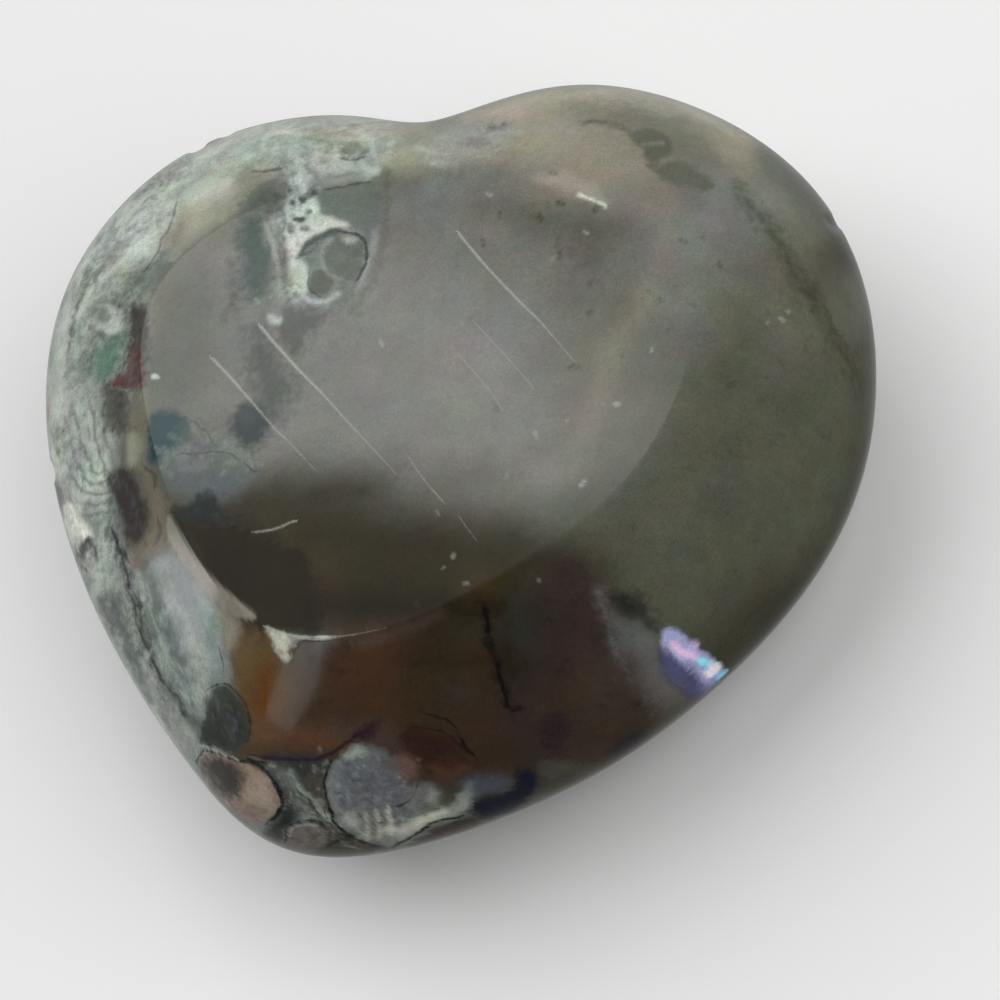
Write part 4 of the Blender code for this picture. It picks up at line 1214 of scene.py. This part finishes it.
class Skin:
    """The points of the stone's skin, where they fall in the picture, and the layers painted on them."""

    def __init__(self, mesh):
        self.points = mesh_points(mesh)
        self.normals = mesh_normals(mesh)
        self.facing = towards_camera(self.points, self.normals)
        self.bearing = numpy.arctan2(self.points[:, 1], self.points[:, 0])
        self.exact = picture_place(self.points)
        self.wobble = drift(self.points, *BROAD_DRIFT) + drift(self.points, *FINE_DRIFT)
        self.place = self.exact + self.wobble
        count = len(self.points)
        self.ground = numpy.tile(COLOURS[BASE_COLOUR], (count, 1))
        self.patches, self.fossils, self.cores = (Layer(count) for _ in range(3))
        self.lines, self.scratches_and_glints = (LineLayer(count) for _ in range(2))
        self.rich, self.blotch, self.bands, self.band_cover = numpy.zeros((4, count))

    def beyond(self, chosen):
        """Distance in pixels past the last points that a mark of the picture reaches round the rim."""
        return (RIM_FACING - self.facing[chosen]) * RIM_PIXELS

    def tint(self, chosen, colour, cover):
        self.ground[chosen] += (numpy.array(COLOURS[colour]) - self.ground[chosen]) * cover[:, None]

    def paint_grounds(self):
        for mark in GROUNDS.values():
            chosen = near(self.place, mark)
            self.tint(chosen, mark.colour, mark_cover(self.place[chosen], mark))

    def paint_rich(self):
        """How crowded with fossils the stone is: by the picture's marks, and elsewhere by bearing."""
        for mark in RICH.values():
            chosen = near(self.place, mark)
            self.rich[chosen] = numpy.maximum(self.rich[chosen], mark_cover(self.place[chosen], mark))
        crowded = smooth_step((FOSSIL_SPREAD - angle_from(self.bearing, FOSSIL_BEARING)) / FOSSIL_FADE + 0.5)
        crowded *= smooth_step((HIDDEN_FACING + HIDDEN_FADE - self.facing) / HIDDEN_FADE)
        self.rich = numpy.maximum(self.rich, crowded)
        self.tint(numpy.arange(len(self.rich)), "shell_slate", crowded * HIDDEN_TINT)

    def paint_blotches(self):
        """Small soft blotches, stretched along the flank, wherever the stone is crowded with fossils."""
        chance = numpy.random.default_rng(BLOTCH_SEED)
        for middle in chance.choice(numpy.flatnonzero(self.rich > BLOTCH_CROWD), BLOTCHES):
            along = numpy.cross(UPWARD, self.normals[middle] + NUDGE)
            along /= numpy.linalg.norm(along)
            across = numpy.cross(self.normals[middle], along)
            tilt = chance.normal(0.0, BLOTCH_TILT)
            length = chance.uniform(*BLOTCH_LENGTH)
            width = length * chance.uniform(*BLOTCH_SLIMNESS)
            depth = chance.uniform(-1.0, 1.0)
            colour = BLOTCH_TINTS[chance.integers(len(BLOTCH_TINTS))]
            offset = self.points - self.points[middle]
            chosen = numpy.flatnonzero(numpy.abs(offset).max(axis=1) < BLOTCH_REACH * length)
            first = offset[chosen] @ (along * math.cos(tilt) + across * math.sin(tilt)) / length
            second = offset[chosen] @ (across * math.cos(tilt) - along * math.sin(tilt)) / width
            cover = smooth_step(BLOTCH_EDGE - numpy.hypot(first, second)) * self.rich[chosen]
            self.blotch[chosen] += (depth - self.blotch[chosen]) * cover
            self.tint(chosen, colour, cover * BLOTCH_TINT)

    def paint_marks(self, layer, marks, places):
        for mark in marks.values():
            chosen = near(places, mark)
            distance = numpy.maximum(mark_distance(places[chosen], mark), self.beyond(chosen))
            layer.add(chosen, distance, mark.colour, mark.soft, mark.strength)

    def paint_lines(self):
        for mark in LINES.values():
            chosen = near(self.place, mark)
            across, along = line_distance(self.place[chosen], smooth_path(mark.places))
            taper = numpy.minimum(1.0, LINE_TAPER * numpy.minimum(along, 1 - along) + LINE_TIP)
            width = numpy.minimum(mark.size * taper, -self.beyond(chosen))
            self.lines.add(chosen, across, width, mark.colour, mark.strength)

    def paint_scratches(self):
        # Scratches, and the painted highlight along the arris.
        for path, first, last in SCRATCHES_AND_GLINTS.values():
            chosen = near(self.exact, line("", path, 0))
            across, along = line_distance(self.exact[chosen], smooth_path(path))
            width = numpy.minimum(first + (last - first) * along, -self.beyond(chosen))
            self.scratches_and_glints.add(chosen, across, width, "white", 1.0)

    def paint_specks(self, specks, colour, strength):
        """Each speck sits on the nearest point of the skin, so that none is lost between points."""
        chance = numpy.random.default_rng(SPECK_SEED)
        shown = numpy.flatnonzero(self.facing > 0)
        for middle, size in specks:
            gaps = numpy.hypot(*(self.exact[shown] - middle).T)
            middle = self.exact[shown[gaps.argmin()]]
            chosen = shown[gaps < 2 * size + MARGIN_PIXELS]
            half = numpy.array(SPECK_SHAPE) * size
            distance = oval_distance(self.exact[chosen], middle, half, chance.uniform(0.0, 180.0))
            self.cores.add(chosen, distance, colour, SPECK_SOFT, strength)

    def paint_crumbs(self):
        chance = numpy.random.default_rng(CRUMB_SEED)
        for path, spread, count, size, colour, strength in CRUMBS.values():
            middles = smooth_path(path)
            middles = middles[chance.integers(len(middles), size=count)]
            middles = middles + chance.normal(0.0, spread, (count, 2))
            sizes = size * chance.uniform(*CRUMB_SIZES, count)
            self.paint_specks(zip(middles, sizes), colour, strength)

    def paint_bands(self):
        for path, spacing, where in BANDS.values():
            chosen = near(self.place, where)
            distance = numpy.maximum(mark_distance(self.place[chosen], where), self.beyond(chosen))
            cover = soft_cover(distance, where)
            stronger = cover > self.band_cover[chosen]
            painted = chosen[stronger]
            across = line_distance(self.place[painted], smooth_path(path))[0]
            self.bands[painted] = numpy.abs(across) / spacing
            self.band_cover[painted] = cover[stronger]

    def paint_hidden(self):
        """Fossils where the picture shows nothing: round the back, low on the flanks and underneath."""
        chance = numpy.random.default_rng(HIDDEN_SEED)
        hidden = self.facing < HIDDEN_FACING
        mixed = angle_from(self.bearing, FOSSIL_BEARING) < FOSSIL_SPREAD
        for where, count in ((hidden & mixed, HIDDEN_IN_SHELL), (hidden & ~mixed, HIDDEN_IN_STONE)):
            taken = numpy.empty((0, 3))
            for middle in self.points[chance.choice(numpy.flatnonzero(where), count)]:
                if numpy.all(numpy.linalg.norm(taken - middle, axis=1) > SHELL_GAP):
                    taken = numpy.vstack((taken, middle))
                    self.paint_shell(middle, chance)

    def paint_shell(self, middle, chance):
        """One shell's section: a filled oval with a dark outline, a pale ring and a core."""
        radii = numpy.minimum(chance.lognormal(math.log(SHELL_SIZES[0]), SHELL_SIZES[1], 3), SHELL_LARGEST)
        turn = Matrix.Rotation(chance.uniform(0, math.pi), 3, Vector(chance.normal(size=3)))
        distance = rounded_distance((self.points - middle) @ numpy.array(turn), radii) * PIXELS_PER_MM
        distance += self.wobble[:, 0]
        outside = (self.facing - HIDDEN_FACING) * RIM_PIXELS
        chosen = numpy.flatnonzero((distance < SHELL_MARGIN) & (outside < SHELL_MARGIN))
        distance = distance[chosen]
        outside = outside[chosen]
        fill, ring_colour, core_colour = SHELL_COLOURS[chance.integers(len(SHELL_COLOURS))]
        strength = chance.uniform(*SHELL_STRENGTH)
        self.fossils.add(chosen, numpy.maximum(distance, outside), fill, SHELL_SOFT, strength)
        outline = numpy.minimum(OUTLINE_HALF, -outside)
        self.lines.add(chosen, distance, outline, "ink", strength * OUTLINE_STRENGTH)
        inward = radii.min() * PIXELS_PER_MM
        ring_distance = numpy.abs(distance + SHELL_RING * inward) - RING_HALF
        for inner, colour, share in ((ring_distance, ring_colour, RING_STRENGTH),
                                     (distance + SHELL_CORE * inward, core_colour, CORE_STRENGTH)):
            self.cores.add(chosen, numpy.maximum(inner, outside), colour, SHELL_SOFT, strength * share)

    def paint(self):
        self.paint_grounds()
        self.paint_rich()
        self.paint_blotches()
        self.paint_marks(self.patches, PATCHES, self.place)
        self.paint_marks(self.patches, ARRIS_PATCHES, self.exact)
        self.paint_marks(self.fossils, FOSSILS, self.place)
        self.paint_marks(self.cores, CORES, self.place)
        self.paint_crumbs()
        self.paint_specks(PALE_SPECKS, "white", PALE_SPECK_STRENGTH)
        self.paint_specks(DARK_SPECKS, "deep_olive", DARK_SPECK_STRENGTH)
        self.paint_lines()
        self.paint_scratches()
        self.paint_bands()
        self.paint_hidden()

    def store(self, mesh):
        store_values(mesh, "ground", numpy.column_stack((self.ground, self.rich)))
        store_values(mesh, "blotch", self.blotch)
        for name, layer in (("patch", self.patches), ("fossil", self.fossils), ("core", self.cores)):
            store_values(mesh, name + "_colour", layer.colour)
            store_values(mesh, name + "_edge", layer.edge)
        store_values(mesh, "line_colour", self.lines.colour)
        # The scratch attributes carry the painted highlight along the arris as well.
        for name, layer in (("line", self.lines), ("scratch", self.scratches_and_glints)):
            store_values(mesh, name + "_across", layer.across)
            store_values(mesh, name + "_width", layer.width)
        store_values(mesh, "bands", self.bands)
        store_values(mesh, "band_cover", self.band_cover)


def store_values(mesh, name, values):
    """Stores a number for each point, or a colour where the values have four columns."""
    kind, field = ("FLOAT", "value") if values.ndim == 1 else ("FLOAT_COLOR", "color")
    mesh.attributes.new(name, kind, "POINT").data.foreach_set(field, values.ravel())


# ---------------------------------------------------------------------------------------------
# Material and studio
# ---------------------------------------------------------------------------------------------
class Nodes:
    """A short way to write a node tree, whose textures are laid by the coordinates named."""

    def __init__(self, owner, coordinates="Object"):
        owner.use_nodes = True
        self.tree = owner.node_tree
        self.place = self.add("TexCoord").outputs[coordinates]

    def add(self, kind, **settings):
        made = self.tree.nodes.new("ShaderNode" + kind)
        for name, value in settings.items():
            setattr(made, name, value)
        return made

    def join(self, value, socket):
        """Links a value to a socket when it comes from a node, and sets it there otherwise."""
        if isinstance(value, bpy.types.NodeSocket):
            self.tree.links.new(value, socket)
        else:
            socket.default_value = value

    def joined(self, made, values):
        """Fills a new node's sockets, by name or number, and gives its first output."""
        for name, value in values.items():
            self.join(value, made.inputs[name])
        return made.outputs[0]

    def attribute(self, name, output="Fac"):
        return self.add("Attribute", attribute_name=name).outputs[output]

    def math(self, operation, first, second=0.0):
        return self.joined(self.add("Math", operation=operation), {0: first, 1: second})

    def total(self, first, *others):
        for other in others:
            first = self.math("ADD", first, other)
        return first

    def product(self, first, *others):
        for other in others:
            first = self.math("MULTIPLY", first, other)
        return first

    def ranged(self, value, low, high, to_low=0.0, to_high=1.0, smooth=False):
        made = self.add("MapRange", interpolation_type="SMOOTHSTEP" if smooth else "LINEAR")
        return self.joined(made, dict(enumerate((value, low, high, to_low, to_high))))

    def swing(self, grains, sway, middle=0.0):
        """Noise that swings so far to either side of a middle value."""
        return self.ranged(grains, *NOISE_SPAN, middle - sway, middle + sway)

    def mixed(self, share, first, second, blend="MIX"):
        made = self.add("Mix", data_type="RGBA", blend_type=blend)
        self.joined(made, dict(zip(MIX_INPUTS, (share, first, second))))
        return made.outputs[MIX_OUTPUT]

    def speckle(self, size, detail, roughness=0.5, distortion=0.0, output="Fac"):
        """Noise fixed to the object; size is that of its grains in millimetres."""
        made = self.add("TexNoise")
        self.joined(made, {"Vector": self.place, "Scale": 1.0 / (size * MM), "Detail": detail,
                           "Roughness": roughness, "Distortion": distortion})
        return made.outputs[output]

    def along(self, direction):
        """How far a place lies along a direction."""
        made = self.add("VectorMath", operation="DOT_PRODUCT")
        self.joined(made, {0: self.place, 1: direction})
        return made.outputs["Value"]

    def layer_over(self, below, name, ragged):
        """A layer of marks over the colour below, fading in round their edges, which noise roughens."""
        cover = self.ranged(self.total(self.attribute(name + "_edge"), ragged), 1.0, -1.0, smooth=True)
        cover = self.product(cover, self.attribute(name + "_colour", "Alpha"))
        return self.mixed(cover, below, self.attribute(name + "_colour", "Color"))

    def line_cover(self, name, ragged, soft):
        across = self.math("ABSOLUTE", self.attribute(name + "_across"))
        edge = self.math("SUBTRACT", across, self.attribute(name + "_width"))
        return self.ranged(self.total(edge, ragged), soft, -soft, smooth=True)


def banded(nodes, colour, coarse, middle):
    """Growth bands: pale crests, broken in places, and dark troughs."""
    swirl = nodes.total(nodes.attribute("bands"), nodes.swing(coarse, BAND_COARSE),
                        nodes.swing(middle, BAND_MIDDLE))
    wave = nodes.math("SINE", nodes.product(swirl, 2 * math.pi))
    cover = nodes.attribute("band_cover")
    broken = nodes.ranged(nodes.speckle(*BREAK_NOISE), *BAND_BREAKS)
    crest = nodes.product(nodes.ranged(wave, *BAND_CREST), cover, broken)
    trough = nodes.product(nodes.ranged(wave, *BAND_TROUGH), cover)
    return nodes.mixed(trough, nodes.mixed(crest, colour, BAND_PALE), BAND_DARK)


def lined(nodes, colour, middle, fine):
    """Thin lines, ragged and fainter in places."""
    cover = nodes.product(nodes.line_cover("line", nodes.swing(middle, LINE_RAGGED), LINE_SOFT),
                          nodes.attribute("line_colour", "Alpha"), nodes.ranged(fine, *LINE_FAINT))
    return nodes.mixed(cover, colour, nodes.attribute("line_colour", "Color"))


def mottled(nodes, colour, coarse, middle, fine):
    """Mottling: all over, and stronger with swirls and blotches among the fossils."""
    contour = nodes.math("SINE", nodes.product(nodes.speckle(*CONTOUR_NOISE), CONTOUR_WAVES))
    lively = nodes.total(nodes.product(contour, CONTOUR_SHADE), nodes.swing(middle, CROWD_MIDDLE),
                         nodes.product(nodes.attribute("blotch"), BLOTCH_SHADE),
                         nodes.swing(fine, CROWD_FINE))
    shade = nodes.total(nodes.swing(coarse, SHADE_COARSE, 1.0), nodes.swing(middle, SHADE_MIDDLE),
                        nodes.product(lively, nodes.attribute("ground", "Alpha")))
    shade = nodes.product(shade, nodes.swing(fine, SHADE_FINE, 1.0),
                          nodes.swing(nodes.speckle(*GRAIN_NOISE), SHADE_GRAIN, 1.0))
    colour = nodes.mixed(1.0, colour, shade, "MULTIPLY")
    return nodes.mixed(HUE_SHARE, colour, nodes.speckle(*HUE_NOISE, output="Color"), "OVERLAY")


def stone_material():
    """Polished stone: painted layers, mottled at three sizes, with a few fine dents under the gloss."""
    material = bpy.data.materials.new("polished_stone")
    nodes = Nodes(material)
    coarse = nodes.speckle(*COARSE_NOISE)
    middle = nodes.speckle(*MIDDLE_NOISE)
    fine = nodes.speckle(*FINE_NOISE)
    ragged = nodes.ranged(middle, *RAGGED_EDGE)
    colour = nodes.layer_over(nodes.attribute("ground", "Color"), "patch", ragged)
    colour = banded(nodes, colour, coarse, middle)
    colour = nodes.layer_over(colour, "fossil", ragged)
    colour = nodes.layer_over(colour, "core", ragged)
    colour = lined(nodes, colour, middle, fine)
    colour = mottled(nodes, colour, coarse, middle, fine)
    # Scratches, and the painted highlight along the arris, in a pale colour and pressed in a little.
    scratch = nodes.line_cover("scratch", nodes.swing(fine, SCRATCH_RAGGED), SCRATCH_SOFT)
    colour = nodes.mixed(nodes.product(scratch, SCRATCH_STRENGTH), colour, SCRATCH_AND_GLINT_COLOUR)
    height = nodes.total(fine, nodes.product(scratch, SCRATCH_DEPTH))
    normal = nodes.joined(nodes.add("Bump"), {"Strength": BUMP_STRENGTH, "Distance": BUMP_DEPTH,
                                              "Height": height})
    nodes.joined(nodes.tree.nodes["Principled BSDF"], {
        "Base Color": colour, "Roughness": nodes.swing(middle, ROUGHNESS_SWING, ROUGHNESS),
        "IOR": STONE_IOR, "Normal": normal})
    return material


def link(thing):
    bpy.context.scene.collection.objects.link(thing)


def add_camera():
    right, up, back = camera_axes()
    data = bpy.data.cameras.new("camera")
    data.sensor_width = SENSOR_WIDTH
    data.lens = FOCAL_PIXELS * SENSOR_WIDTH / PICTURE_SIDE
    data.clip_start, data.clip_end = CAMERA_CLIP
    camera = bpy.data.objects.new("camera", data)
    camera.matrix_world = Matrix((right, up, back)).transposed().to_4x4()
    camera.location = (Vector(CAMERA_AIM) + back * CAMERA_DISTANCE) * MM
    link(camera)
    bpy.context.scene.camera = camera


def sky_direction(azimuth, elevation):
    azimuth = math.radians(azimuth)
    elevation = math.radians(elevation)
    flat = math.cos(elevation)
    return Vector((flat * math.sin(azimuth), -flat * math.cos(azimuth), math.sin(elevation)))


def add_soft_box(name, azimuth, elevation, width, height, power, shown):
    """A rectangular light that faces the stone."""
    data = bpy.data.lights.new(name, "AREA")
    data.shape = "RECTANGLE"
    data.size = width
    data.size_y = height
    data.energy = power
    lamp = bpy.data.objects.new(name, data)
    direction = sky_direction(azimuth, elevation)
    lamp.matrix_world = direction.to_track_quat("Z", "Y").to_matrix().to_4x4()
    lamp.location = direction + LIGHTS_MIDDLE
    lamp.visible_glossy = shown
    link(lamp)


def window_material(side, climb):
    """A glow that fades towards the window's lower corner on the side away from the given direction."""
    material = bpy.data.materials.new("window_glow")
    nodes = Nodes(material)
    strength = nodes.ranged(nodes.along(2 * side + climb), *WINDOW_FADE, smooth=True)
    glow = nodes.joined(nodes.add("Emission"), {"Color": WINDOW_COLOUR, "Strength": strength})
    nodes.join(glow, nodes.tree.nodes["Material Output"].inputs["Surface"])
    nodes.tree.nodes.remove(nodes.tree.nodes["Principled BSDF"])
    return material


def add_window():
    """The bright shape that the table mirrors."""
    direction = sky_direction(WINDOW_AZIMUTH, WINDOW_ELEVATION)
    side = Vector(UPWARD).cross(direction).normalized()
    climb = direction.cross(side)
    middle = direction + LIGHTS_MIDDLE
    corners = [middle + side * across + climb * upward for across, upward in WINDOW_CORNERS]
    mesh = bpy.data.meshes.new("window")
    mesh.from_pydata(corners, [], [list(range(len(corners)))])
    mesh.materials.append(window_material(side, climb))
    window = bpy.data.objects.new("window", mesh)
    link(window)


def add_lights():
    add_window()
    for name, settings in SOFT_BOXES.items():
        add_soft_box(name, *settings)


def add_world():
    """A room that is bright on the far left and dark behind the camera."""
    world = bpy.data.worlds.new("studio")
    nodes = Nodes(world, "Generated")
    share = nodes.ranged(nodes.along(sky_direction(SKY_AZIMUTH, 0.0)), *SKY_FADE, smooth=True)
    nodes.join(nodes.mixed(share, SKY_DARK, SKY_BRIGHT), nodes.tree.nodes["Background"].inputs["Color"])
    bpy.context.scene.world = world


def add_floor():
    bpy.ops.mesh.primitive_plane_add(size=FLOOR_SIZE, location=(0.0, 0.0, FLOOR_HEIGHT))
    floor = bpy.context.object
    floor.name = "floor"
    material = bpy.data.materials.new("floor_white")
    material.use_nodes = True
    shader = material.node_tree.nodes["Principled BSDF"]
    shader.inputs["Base Color"].default_value = FLOOR_COLOUR
    shader.inputs["Roughness"].default_value = FLOOR_ROUGHNESS
    floor.data.materials.append(material)
    floor.visible_glossy = False


def add_heart():
    mesh = heart_mesh()
    press_hollows(mesh)
    fit_box(mesh)
    skin = Skin(mesh)
    skin.paint()
    skin.store(mesh)
    heart = bpy.data.objects.new("polished_heart", mesh)
    link(heart)
    mesh.materials.append(stone_material())
    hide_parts(NODE)
    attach(heart, "root")


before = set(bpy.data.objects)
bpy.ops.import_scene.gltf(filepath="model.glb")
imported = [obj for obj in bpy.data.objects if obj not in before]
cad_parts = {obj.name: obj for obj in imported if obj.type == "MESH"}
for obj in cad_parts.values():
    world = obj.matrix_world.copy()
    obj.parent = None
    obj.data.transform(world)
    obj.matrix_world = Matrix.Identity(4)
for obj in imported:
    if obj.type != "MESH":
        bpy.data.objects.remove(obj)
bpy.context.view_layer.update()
bpy.context.scene.view_settings.view_transform = "Standard"
add_camera()
add_world()
add_floor()
add_lights()
add_heart()
